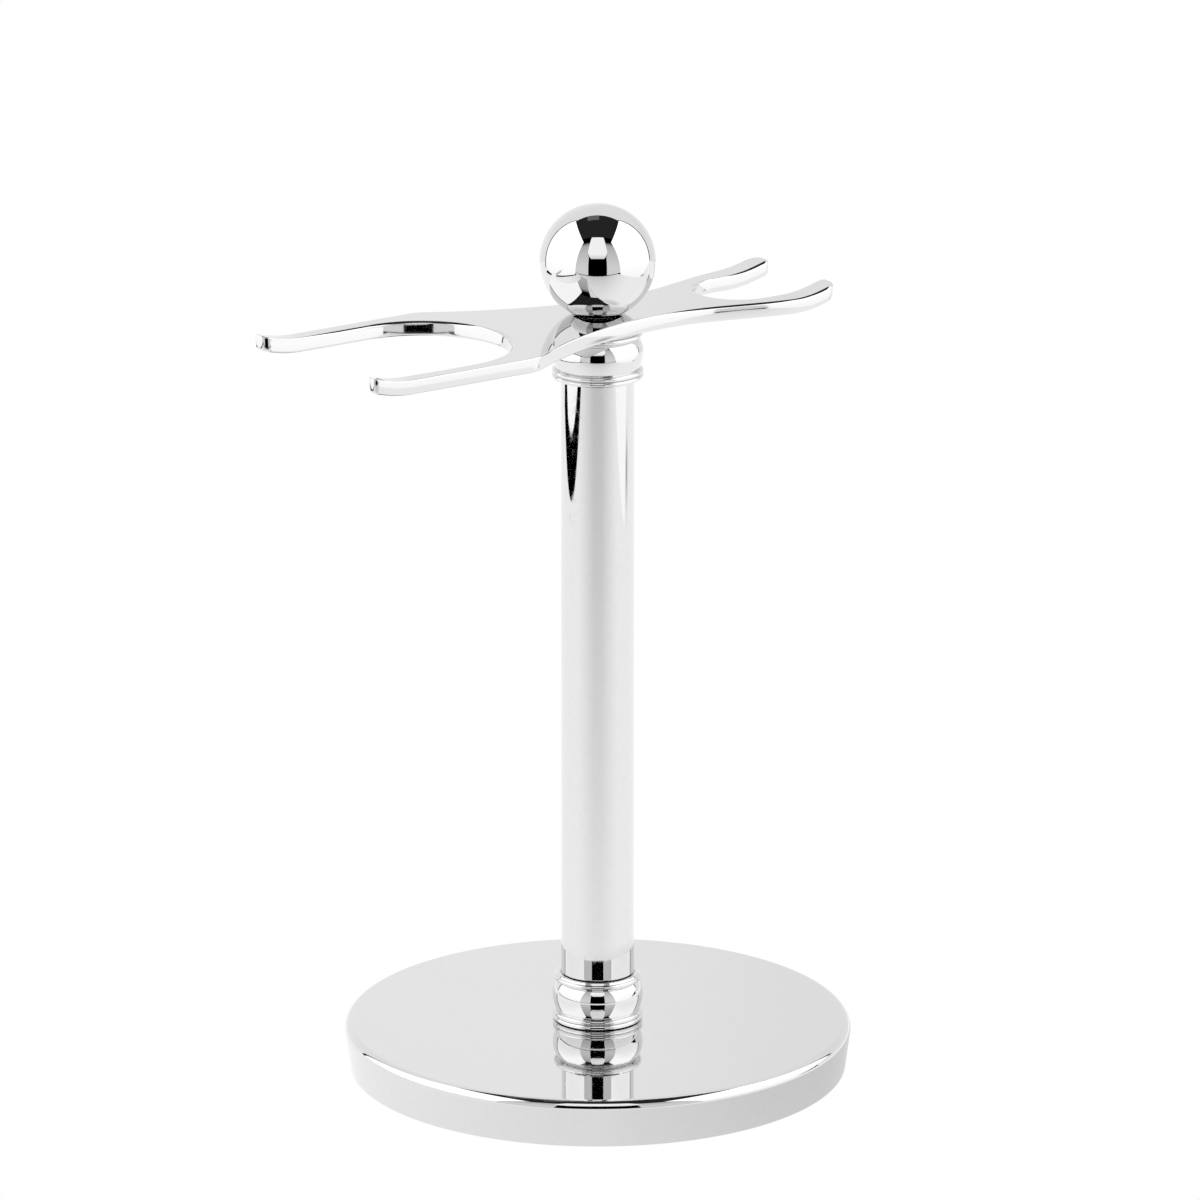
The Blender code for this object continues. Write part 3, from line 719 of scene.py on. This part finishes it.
def plate_half_outline():
    """The cradle's outline for y > 0, from the razor slot's inner end to the brush slot's inner end."""
    razor_tip, brush_tip = PLATE_HIGH.x, PLATE_LOW.x
    razor_outer = RAZOR_SLOT_RADIUS + RAZOR_ARM_WIDTH
    brush_outer = BRUSH_SLOT_RADIUS + BRUSH_ARM_WIDTH
    fine = 0.1 * MM
    points = flat_arc(RAZOR_SLOT_CENTRE_X, 0, RAZOR_SLOT_RADIUS, pi, pi / 2)
    points += flat_arc(razor_tip - RAZOR_TIP_INNER_ROUND, RAZOR_SLOT_RADIUS + RAZOR_TIP_INNER_ROUND,
                       RAZOR_TIP_INNER_ROUND, -pi / 2, 0, fine)
    points += flat_arc(razor_tip - RAZOR_TIP_OUTER_ROUND, razor_outer - RAZOR_TIP_OUTER_ROUND,
                       RAZOR_TIP_OUTER_ROUND, 0, pi / 2, fine)
    flare_steps = 100
    for i in range(flare_steps + 1):
        part = 1 - i / flare_steps
        x = WAIST_X + (RAZOR_FLARE_END_X - WAIST_X) * part
        points.append((x, WAIST_HALF_WIDTH + (razor_outer - WAIST_HALF_WIDTH) * (1 - cos(pi * part)) / 2))
    corner = Vector((SHOULDER_X, brush_outer))
    run = Vector(SHOULDER_PULL) - corner
    turn = acos(run.x / run.length)
    setback = SHOULDER_ROUND * tan(turn / 2)
    flank = corner + run.normalized() * setback
    points += bezier((WAIST_X, WAIST_HALF_WIDTH), (WAIST_PULL_X, WAIST_HALF_WIDTH), SHOULDER_PULL, flank,
                     130)
    points += flat_arc(SHOULDER_X - setback, brush_outer - SHOULDER_ROUND, SHOULDER_ROUND, pi / 2 - turn,
                       pi / 2)
    points += flat_arc(brush_tip + BRUSH_TIP_OUTER_ROUND, brush_outer - BRUSH_TIP_OUTER_ROUND,
                       BRUSH_TIP_OUTER_ROUND, pi / 2, pi, fine)
    points += flat_arc(brush_tip + BRUSH_TIP_INNER_ROUND, BRUSH_SLOT_RADIUS + BRUSH_TIP_INNER_ROUND,
                       BRUSH_TIP_INNER_ROUND, pi, 3 * pi / 2, fine)
    points += flat_arc(BRUSH_SLOT_CENTRE_X, 0, BRUSH_SLOT_RADIUS, pi / 2, 0)
    return points


def resampled(points, step):
    """A closed loop with no gap between neighbours longer than a step, and no two points together."""
    even = []
    for p, q in zip(points, points[1:] + points[:1]):
        gap = hypot(q[0] - p[0], q[1] - p[1])
        if gap < 1e-6:
            continue
        count = ceil(gap / step)
        even += [(p[0] + (q[0] - p[0]) * i / count, p[1] + (q[1] - p[1]) * i / count) for i in range(count)]
    return even


def loop_normals(points):
    """The outward normal at each point of a loop that runs anticlockwise."""
    found = []
    for before, after in zip(points[-1:] + points[:-1], points[1:] + points[:1]):
        along = Vector((after[0] - before[0], after[1] - before[1])).normalized()
        found.append((along.y, -along.x))
    return found


def tip_rise(x):
    """How far the plate has risen at x, and its slope there."""
    side, distance = (1, x - RAZOR_BEND_X) if x > 0 else (-1, BRUSH_BEND_X - x)
    bend_length = TIP_BEND_RADIUS * sin(TIP_SLOPE)
    if distance <= 0:
        return 0.0, 0.0
    if distance < bend_length:
        root = sqrt(TIP_BEND_RADIUS**2 - distance**2)
        return TIP_BEND_RADIUS - root, side * distance / root
    rise = TIP_BEND_RADIUS * (1 - cos(TIP_SLOPE)) + (distance - bend_length) * tan(TIP_SLOPE)
    return rise, side * tan(TIP_SLOPE)


EDGE_TILTS = (90, 80, 70, 64, 60, 57, 54, 51, 48, 44, 36, 26, 16, 7, 3, 0,
              -3, -7, -16, -27, -38, -50, -62, -76, -90)
PROFILE_STEP = 0.5


def edge_profile(bevel, crown_tilt):
    """A cut edge from the top face to the underside: (outward, height, tilt of the normal) at each tilt.

    The edge turns through half a circle. It turns quickly where it is rounded, slowly along the bevel and
    slowest down the side, which is slightly crowned and takes up whatever thickness is left over.
    """
    step = radians(PROFILE_STEP)

    def run(tilt):
        if abs(tilt) < crown_tilt:
            return 0.0
        if tilt < 0:
            return PLATE_BOTTOM_ROUND
        slow = exp(-((tilt - BEVEL_TILT) / BEVEL_SPREAD) ** 2) / (sqrt(pi) * radians(BEVEL_SPREAD))
        return PLATE_TOP_ROUND + bevel * PLATE_BEVEL * slow

    middles = [90.0 - PROFILE_STEP * (i + 0.5) for i in range(round(180 / PROFILE_STEP))]
    used = sum(run(tilt) * cos(radians(tilt)) * step for tilt in middles)
    side = (PLATE_THICKNESS - used) / (2 * sin(radians(crown_tilt)))
    out, height = 0.0, PLATE_THICKNESS
    found = {90.0: (0.0, PLATE_THICKNESS)}
    for tilt in middles:
        length = (side if abs(tilt) < crown_tilt else run(tilt)) * step
        out += sin(radians(tilt)) * length
        height -= cos(radians(tilt)) * length
        found[tilt - PROFILE_STEP / 2] = (out, height)
    widest = found[0.0][0]
    return [(found[tilt][0] - widest, found[tilt][1], radians(tilt)) for tilt in EDGE_TILTS]


def slot_share(x, y):
    """One on the brush slot's wall, falling to nothing SLOT_FADE away from it."""
    away = hypot(max(x - BRUSH_SLOT_CENTRE_X, 0.0), y) - BRUSH_SLOT_RADIUS
    return share(1 - away / SLOT_FADE)


def rising(x, low, high):
    """Nothing below low, one above high and in proportion between them."""
    return share((x - low) / (high - low))


def bevel_share(x, y):
    """How much of its bevel the top edge keeps: all, except round the brush fork's outside and tips."""
    in_slot = min(slot_share(x, y), rising(x, *SLOT_BEVEL_X))
    return max(in_slot, rising(x, *BEVEL_X))


def inside(point, loop):
    """Whether a point lies inside a closed loop."""
    x, y = point
    found = False
    for p, q in zip(loop, loop[1:] + loop[:1]):
        if (p[1] > y) != (q[1] > y) and x < (q[0] - p[0]) * (y - p[1]) / (q[1] - p[1]) + p[0]:
            found = not found
    return found


def clearance(point, loop):
    """How far a point is from the nearest point of a loop."""
    return min(hypot(point[0] - p[0], point[1] - p[1]) for p in loop)


def plate_net(outer, loops):
    """The caps' plan: points and triangles on a fine net, whose first points are the loops, inset."""
    net, edges = [], []
    for points, normals in loops:
        start = len(net)
        net += [Vector((p[0] - n[0] * CAP_INSET, p[1] - n[1] * CAP_INSET)) for p, n in zip(points, normals)]
        edges += [(start + i, start + (i + 1) % len(points)) for i in range(len(points))]
    x = PLATE_LOW.x
    while x < PLATE_HIGH.x:
        bent = tip_rise(x - MM)[0] + tip_rise(x + MM)[0] > 0
        y = -NET_HALF_WIDTH
        while y < NET_HALF_WIDTH:
            clear_of_hole = hypot(x, y) > STUD_HOLE + 2 * CAP_INSET
            if clear_of_hole and inside((x, y), outer) and clearance((x, y), outer) > NET_CLEARANCE:
                net.append(Vector((x, y)))
            y += NET_BENT_Y if bent else NET_FLAT
        x += NET_BENT_X if bent else NET_FLAT
    points, _, triangles, _, _, _ = delaunay_2d_cdt(net, edges, [], 1, 1e-9)
    rim = STUD_HOLE + CAP_INSET + 0.01 * MM
    return points, [t for t in triangles if max(points[i].length for i in t) > rim]


def cradle_plate():
    """The plate: two caps on a fine triangle net, and a worked edge all round them and round the hole."""
    half = plate_half_outline()
    outer = resampled(half + [(x, -y) for x, y in reversed(half)], OUTLINE_STEP)
    hole = [(STUD_HOLE * cos(-2 * pi * i / 96), STUD_HOLE * sin(-2 * pi * i / 96)) for i in range(96)]
    loops = [(outer, loop_normals(outer)), (hole, [(-x / STUD_HOLE, -y / STUD_HOLE) for x, y in hole])]
    plan, triangles = plate_net(outer, loops)
    vertices, normals_at, weights, cuts, faces = [], [], [], [], []

    def add(px, py, pz, n, weight, cut=0.0):
        rise, slope = tip_rise(px)
        vertices.append((px, py, PLATE_LOW.z + pz + rise))
        normals_at.append(tuple(Vector((n[0] - slope * n[2], n[1], n[2])).normalized()))
        weights.append(weight)
        cuts.append(cut)
        return len(vertices) - 1

    caps = {}
    for level, up in ((PLATE_THICKNESS, 1.0), (0.0, -1.0)):
        caps[level] = [add(p.x, p.y, level, (0, 0, up), 0.0) for p in plan]
        for t in triangles:
            a, b, c = (plan[i] for i in t)
            anticlockwise = (b - a).cross(c - a) > 0
            face = [caps[level][i] for i in t]
            faces.append(face if anticlockwise == (up > 0) else face[::-1])

    profiles = [edge_profile(0.0, BRUSH_SIDE_CROWN), edge_profile(1.0, BRUSH_SIDE_CROWN),
                edge_profile(1.0, RAZOR_SIDE_CROWN)]
    offset = 0
    for points, normals in loops:
        count = len(points)
        rows = [caps[PLATE_THICKNESS][offset:offset + count]]
        shares = [(bevel_share(*p), rising(p[0], *RAZOR_CROWN_X),
                   radians(SIDE_LEAN + (SLOT_LEAN - SIDE_LEAN) * slot_share(*p))) for p in points]
        for plain, bevelled, razor in zip(*profiles):
            tilt = plain[2]
            marks = (1.0, 0.0) if abs(tilt) > radians(RAZOR_SIDE_CROWN + 1) else (0.0, 1.0)
            row = []
            for p, n, (bevel, full, lean) in zip(points, normals, shares):
                reach, height = (a + (b - a) * bevel + (c - b) * full
                                 for a, b, c in zip(plain[:2], bevelled[:2], razor[:2]))
                reach -= (height - PLATE_THICKNESS / 2) * tan(lean)
                up = tilt + lean * cos(tilt)
                row.append(add(p[0] + n[0] * reach, p[1] + n[1] * reach, height,
                               (n[0] * cos(up), n[1] * cos(up), sin(up)), *marks))
            rows.append(row)
        rows.append(caps[0.0][offset:offset + count])
        for upper, lower in zip(rows, rows[1:]):
            for i in range(count):
                k = (i + 1) % count
                faces.append([upper[i], lower[i], lower[k], upper[k]])
        offset += count

    corner_normals = [normals_at[i] for face in faces for i in face]
    finish_mesh("cradle_plate_plated", vertices, faces, corner_normals, weights, "cradle", "cradle_plate",
                CHROME_PLATE, cuts)


cradle_plate()


# ---------------- finial

BALL_LOW, BALL_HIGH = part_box("finial_ball")
BALL_RADIUS = BALL_HIGH.x
BALL_FLAT_DROP = BALL_HIGH.z - BALL_LOW.z - BALL_RADIUS
BALL_LIP = 0.10 * MM
WASHER_RECESS_RADIUS = 3.3 * MM
WASHER_RECESS_DEPTH = 0.3 * MM
STUD_LOW, STUD_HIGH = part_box("finial_stud")
STUD_LENGTH = STUD_HIGH.z - STUD_LOW.z
STUD_END_RADIUS = 1.3 * MM
STUD_GAP = 0.1 * MM
M4_THREAD = (1.95 * MM, 1.6 * MM, 0.7 * MM)


def finial_ball():
    """The ball about its centre: an eased flat beneath, the washer's recess and the stud's blind hole."""
    flat = -BALL_FLAT_DROP
    lip_r = sqrt((BALL_RADIUS - BALL_LIP) ** 2 - (BALL_FLAT_DROP - BALL_LIP) ** 2)
    turn = atan2(BALL_FLAT_DROP - BALL_LIP, lip_r)
    recess_top = flat + WASHER_RECESS_DEPTH
    hole_top = STUD_HIGH.z - BALL_LOW.z - BALL_FLAT_DROP + STUD_GAP
    under = [(lip_r, flat), (WASHER_RECESS_RADIUS, flat), (WASHER_RECESS_RADIUS, recess_top),
             (STUD_HOLE, recess_top), (STUD_HOLE, hole_top), (0.0, hole_top)]
    stretches = [("flat", arc((0.0, 0.0), BALL_RADIUS, pi / 2, -turn, radians(1.5))),
                 ("edge", arc((lip_r, flat + BALL_LIP), BALL_LIP, -turn, -pi / 2, radians(8.0)))]
    stretches += [("flat", line(p, q)) for p, q in zip(under, under[1:])]
    turned("finial_ball_plated", stretches, BALL_LOW.z + BALL_FLAT_DROP, 256, "finial", "finial_ball",
           CHROME_BALL)


finial_ball()
washer("finial_washer_nylon", "finial_washer", STUD_HOLE, 0.1 * MM, "finial_seat", NYLON)
threaded("finial_stud_plated", M4_THREAD, STUD_LOW.z, STUD_LENGTH, (0.0, STUD_LENGTH),
         [(STUD_END_RADIUS, 0.0), (0.0, 0.0)], "finial", "finial_stud", ZINC)


# ---------------- studio

CAMERA_AZIMUTH = radians(-35.2)
CAMERA_PITCH = radians(16.479)
CAMERA_PLACE = (-0.8609, -1.2204, 0.5271)
CAMERA_LENS = 269.6
CAMERA_SHIFT_X = 0.002

# Places in the studio are in metres: right of the stand, away from the camera, and up.
LEFT_BOX = -0.39
RIGHT_BOX = 0.375
BOX_FRONT = -0.40
BOX_BACK = 0.24
BOX_TOP = 0.80
BOX_TOP_FRONT = -0.466
BOX_TOP_BACK = 0.355
BOX_RIM = 0.03
LEFT_FOOT = [(LEFT_BOX, BOX_FRONT, 0.010), (LEFT_BOX, 0.10, 0.010), (LEFT_BOX, BOX_BACK, 0.03)]
RIGHT_FOOT = [(0.410, BOX_FRONT, 0.0), (0.352, 0.02, 0.0), (0.358, 0.05, 0.022), (RIGHT_BOX, BOX_BACK, 0.09)]
FRONT = -0.516
BACK = 0.57
OPENING = 0.170
WIDE_OPENING = 0.205
OPENING_KNEES = (0.34, 0.46)
FLAP_SIDE = 0.62
FLAP_FOOT = 0.012
FLAP_TOP = 0.81
LIGHT_BEHIND = FRONT - 0.001
LIGHT_OUTLINE = [(0.12, 0.32), (0.165, 0.37), (WIDE_OPENING, OPENING_KNEES[1]), (WIDE_OPENING, 1.13)]
BACKDROP_TOP = 1.25
SHEET_REACH = 1.3
PAPER_LEFT = -0.373
PAPER_RIGHT = 0.42
PAPER_RIGHT_FRONT = 0.0
PAPER_LEFT_FRONT = 0.25
PAPER_LEVEL = -0.0002
FLOOR_LEVEL = -0.0001
ROOM_SIDE = 1.35
ROOM_FRONT = -0.70
CEILING = 1.5
UNDERNEATH = -0.01
ROOF_PANEL_BOX = ((-0.34, 0.34), (0.05, 0.66))


def shining(n, strength):
    """Turns a set of nodes into a surface that shines with the given strength."""
    n.tree.nodes.remove(n.shader)
    emission = n.add("ShaderNodeEmission")
    n.put(emission.inputs["Strength"], strength)
    n.tree.links.new(emission.outputs[0], n.tree.nodes["Material Output"].inputs["Surface"])
    return n.material


def glow(name, strength):
    """A surface that shines evenly, or black where the strength is zero."""
    return shining(Nodes(name), strength)


def studio_place(n):
    """A point's place in the studio: right of the stand, away from the camera, up."""
    turn = n.add("ShaderNodeMapping", {"Vector": n.object_space(), "Rotation": (0.0, 0.0, -CAMERA_AZIMUTH)})
    return n.add("ShaderNodeSeparateXYZ", {"Vector": turn.outputs["Vector"]}).outputs


def glow_by_height(name, stops):
    """A surface whose light changes with height, given as (height, strength) stops from the lowest up."""
    n = Nodes(name)
    height = studio_place(n)[2]
    strength = stops[0][1]
    for (low, dim), (high, bright) in zip(stops, stops[1:]):
        strength = n.total(strength, n.span(height, low, high, 0.0, bright - dim))
    return shining(n, strength)


def backdrop_light():
    """The backdrop: brighter near its foot, and low down brighter on the left than on the right."""
    n = Nodes("backdrop_white")
    right, _, height = studio_place(n)
    even, left_gain, high_gain = 0.926, 0.067, 0.045
    light = n.minus(even, n.span(height, 0.21, 0.29, 0.0, 0.035))
    side = n.minus(n.span(right, -0.01, 0.045, left_gain, 0.0), high_gain)
    low_down = n.span(height, 0.36, 0.50, 1.0, 0.0)
    return shining(n, n.total(light, n.total(n.times(side, low_down), high_gain)))


def paper_with_painted_light():
    """The sheet of paper as the chrome sees it, glowing with painted light, with the stand's painted shade
    and a dark patch of painted shadow by the right box.

    In front of the stand its painted light falls off towards the camera. Round to the sides it rises to an
    even level.
    """
    at_stand, fall, fall_ease, beside = 1.065, 1.08, 0.6, 1.09
    n = Nodes("painted_light_paper")
    right, away, _ = studio_place(n)
    radius, _, _ = n.round_axis(n.object_space())
    back_to_front = n.times(away, -1.0)
    towards = n.math("MAXIMUM", back_to_front, 0.0)
    front = n.minus(at_stand, n.times(towards, n.minus(fall, n.times(towards, fall_ease))))
    bearing = n.math("ARCTAN2", n.math("ABSOLUTE", right), back_to_front)
    sideways = n.span(bearing, radians(12.0), radians(66.0), 0.0, 1.0)
    light = n.total(front, n.times(sideways, n.minus(beside, front)))

    # Painted shadow of the stand on the paper round its base, deepest on its right-hand side.
    near_base = n.span(radius, 0.058, 0.077, 0.62, 0.0)
    lee = n.math("DIVIDE", right, n.math("MAXIMUM", radius, 0.001))
    lee = n.math("MAXIMUM", lee, n.times(lee, 0.15))
    shade = n.times(near_base, n.total(n.times(lee, 0.43), 0.14))

    def squared(value, centre, width):
        return n.math("POWER", n.math("DIVIDE", n.minus(value, centre), width), 2.0)

    # Painted shadow: a soft dark patch on the paper by the right softbox's foot.
    painted_shadow_patch = n.total(squared(right, 0.390, 0.026), squared(away, 0.078, 0.036))
    painted_shadow_patch = n.times(n.math("EXPONENT", n.times(painted_shadow_patch, -1.0)), 0.62)
    return shining(n, n.minus(light, n.total(shade, painted_shadow_patch)))


def card(name, corners, finish):
    """A flat card or softbox, from its corners' places in the studio."""
    turn = Matrix.Rotation(CAMERA_AZIMUTH, 3, "Z")
    mesh = bpy.data.meshes.new(name)
    mesh.from_pydata([tuple(turn @ Vector(corner)) for corner in corners], [], [list(range(len(corners)))])
    mesh.materials.append(finish)
    obj = bpy.data.objects.new(name, mesh)
    bpy.context.scene.collection.objects.link(obj)
    return obj


def unseen(name, corners, finish):
    """A card that is hidden from the camera only, so that it shows in the chrome and never blocks a view."""
    obj = card(name, corners, finish)
    obj.visible_camera = False
    obj.visible_shadow = False


def upright(name, left, right, away, low, high, finish):
    """An unseen card that stands across the camera's line of sight."""
    unseen(name, [(left, away, low), (right, away, low), (right, away, high), (left, away, high)], finish)


def level(name, low_corner, high_corner, height, finish):
    """An unseen card that lies level at a height."""
    (left, front), (right, back) = low_corner, high_corner
    corners = [(left, front), (right, front), (right, back), (left, back)]
    unseen(name, [(x, y, height) for x, y in corners], finish)


def softbox(label, x, foot):
    """A softbox beside the stand, with a black rim behind it and on top."""
    top_front, top_back = (x, BOX_TOP_FRONT, BOX_TOP), (x, BOX_TOP_BACK, BOX_TOP)
    rim_top = BOX_TOP + BOX_RIM
    rim_back = (x, BOX_TOP_BACK + BOX_RIM, rim_top)
    unseen("softbox_" + label, foot + [top_back, top_front], WHITE_BOX)
    unseen("softbox_back_rim_" + label, [foot[-1], (x, BOX_BACK + BOX_RIM, foot[-1][2]), rim_back, top_back],
           DARK)
    unseen("softbox_top_rim_" + label, [top_back, rim_back, (x, BOX_TOP_FRONT, rim_top), top_front], DARK)


def front_flap(label, side):
    """One of the two front flaps, which leave an opening for the camera that is wider above its knees."""
    low_knee, high_knee = OPENING_KNEES
    outline = [(OPENING, FLAP_FOOT), (FLAP_SIDE, FLAP_FOOT), (FLAP_SIDE, FLAP_TOP), (WIDE_OPENING, FLAP_TOP),
               (WIDE_OPENING, high_knee), (OPENING, low_knee)]
    unseen("flap_" + label, [(side * x, FRONT, height) for x, height in outline], FLAP)


def room_side(label, x):
    """The dark room beside the tent."""
    unseen("surround_" + label, [(x, -SHEET_REACH, UNDERNEATH), (x, SHEET_REACH, UNDERNEATH),
                                 (x, SHEET_REACH, CEILING), (x, -SHEET_REACH, CEILING)], DARK)


DARK = glow("studio_dark", 0.0)
DIM_ROOF = glow("dim_roof", 0.022)
ROOF_PANEL = glow("roof_panel", 0.15)
WHITE_BOX = glow_by_height("softbox_white", [(0.0, 1.24), (0.12, 1.33), (0.35, 1.6)])
# The front flaps glow with painted light that fades to black towards their tops.
FLAP = glow_by_height("front_flap", [(0.15, 0.81), (0.66, 0.53), (0.75, 0.25), (0.81, 0.0)])
OPENING_LIGHT = glow_by_height("opening_light", [(0.32, 0.8), (0.42, 1.16)])
PAPER = paper_with_painted_light()

softbox("left", LEFT_BOX, LEFT_FOOT)
softbox("right", RIGHT_BOX, RIGHT_FOOT)
for side, label in ((-1, "left"), (1, "right")):
    front_flap(label, side)
    room_side(label, side * ROOM_SIDE)
light_corners = LIGHT_OUTLINE + [(-x, height) for x, height in reversed(LIGHT_OUTLINE)]
unseen("opening_light", [(x, LIGHT_BEHIND, height) for x, height in light_corners], OPENING_LIGHT)
upright("backdrop", -SHEET_REACH, SHEET_REACH, BACK, 0.0, BACKDROP_TOP, backdrop_light())
upright("surround_front", -ROOM_SIDE, ROOM_SIDE, ROOM_FRONT, UNDERNEATH, CEILING, DARK)
room_corners = (-ROOM_SIDE, -SHEET_REACH), (ROOM_SIDE, SHEET_REACH)
level("surround_roof", *room_corners, CEILING, DIM_ROOF)
level("roof_panel", *ROOF_PANEL_BOX, CEILING - 0.001, ROOF_PANEL)
level("under_the_paper", *room_corners, UNDERNEATH, DARK)
for label, left, right, front in (("middle", PAPER_LEFT, PAPER_RIGHT, FRONT),
                                  ("left", -SHEET_REACH, PAPER_LEFT, PAPER_LEFT_FRONT),
                                  ("right", PAPER_RIGHT, SHEET_REACH, PAPER_RIGHT_FRONT)):
    level("painted_light_paper_" + label, (left, front), (right, BACK), PAPER_LEVEL, PAPER)

floor_corners = [(-5.0, -5.0), (5.0, -5.0), (5.0, 5.0), (-5.0, 5.0)]
floor = card("floor", [(x, y, FLOOR_LEVEL) for x, y in floor_corners], glow("floor_pale", 1.0))
floor.visible_glossy = False

world = bpy.data.worlds.new("white_room")
bpy.context.scene.world = world
world.use_nodes = True
world.node_tree.nodes["Background"].inputs["Color"].default_value = (1.0, 1.0, 1.0, 1.0)
world.node_tree.nodes["Background"].inputs["Strength"].default_value = 1.0

camera_data = bpy.data.cameras.new("camera")
camera = bpy.data.objects.new("camera", camera_data)
bpy.context.scene.collection.objects.link(camera)
camera.location = CAMERA_PLACE
camera.rotation_euler = (pi / 2 - CAMERA_PITCH, 0.0, CAMERA_AZIMUTH)
camera_data.lens = CAMERA_LENS
camera_data.sensor_width = 36.0
camera_data.shift_x = CAMERA_SHIFT_X
camera_data.clip_start = 0.05
camera_data.clip_end = 20.0
bpy.context.scene.camera = camera
bpy.context.scene.view_settings.view_transform = "Standard"
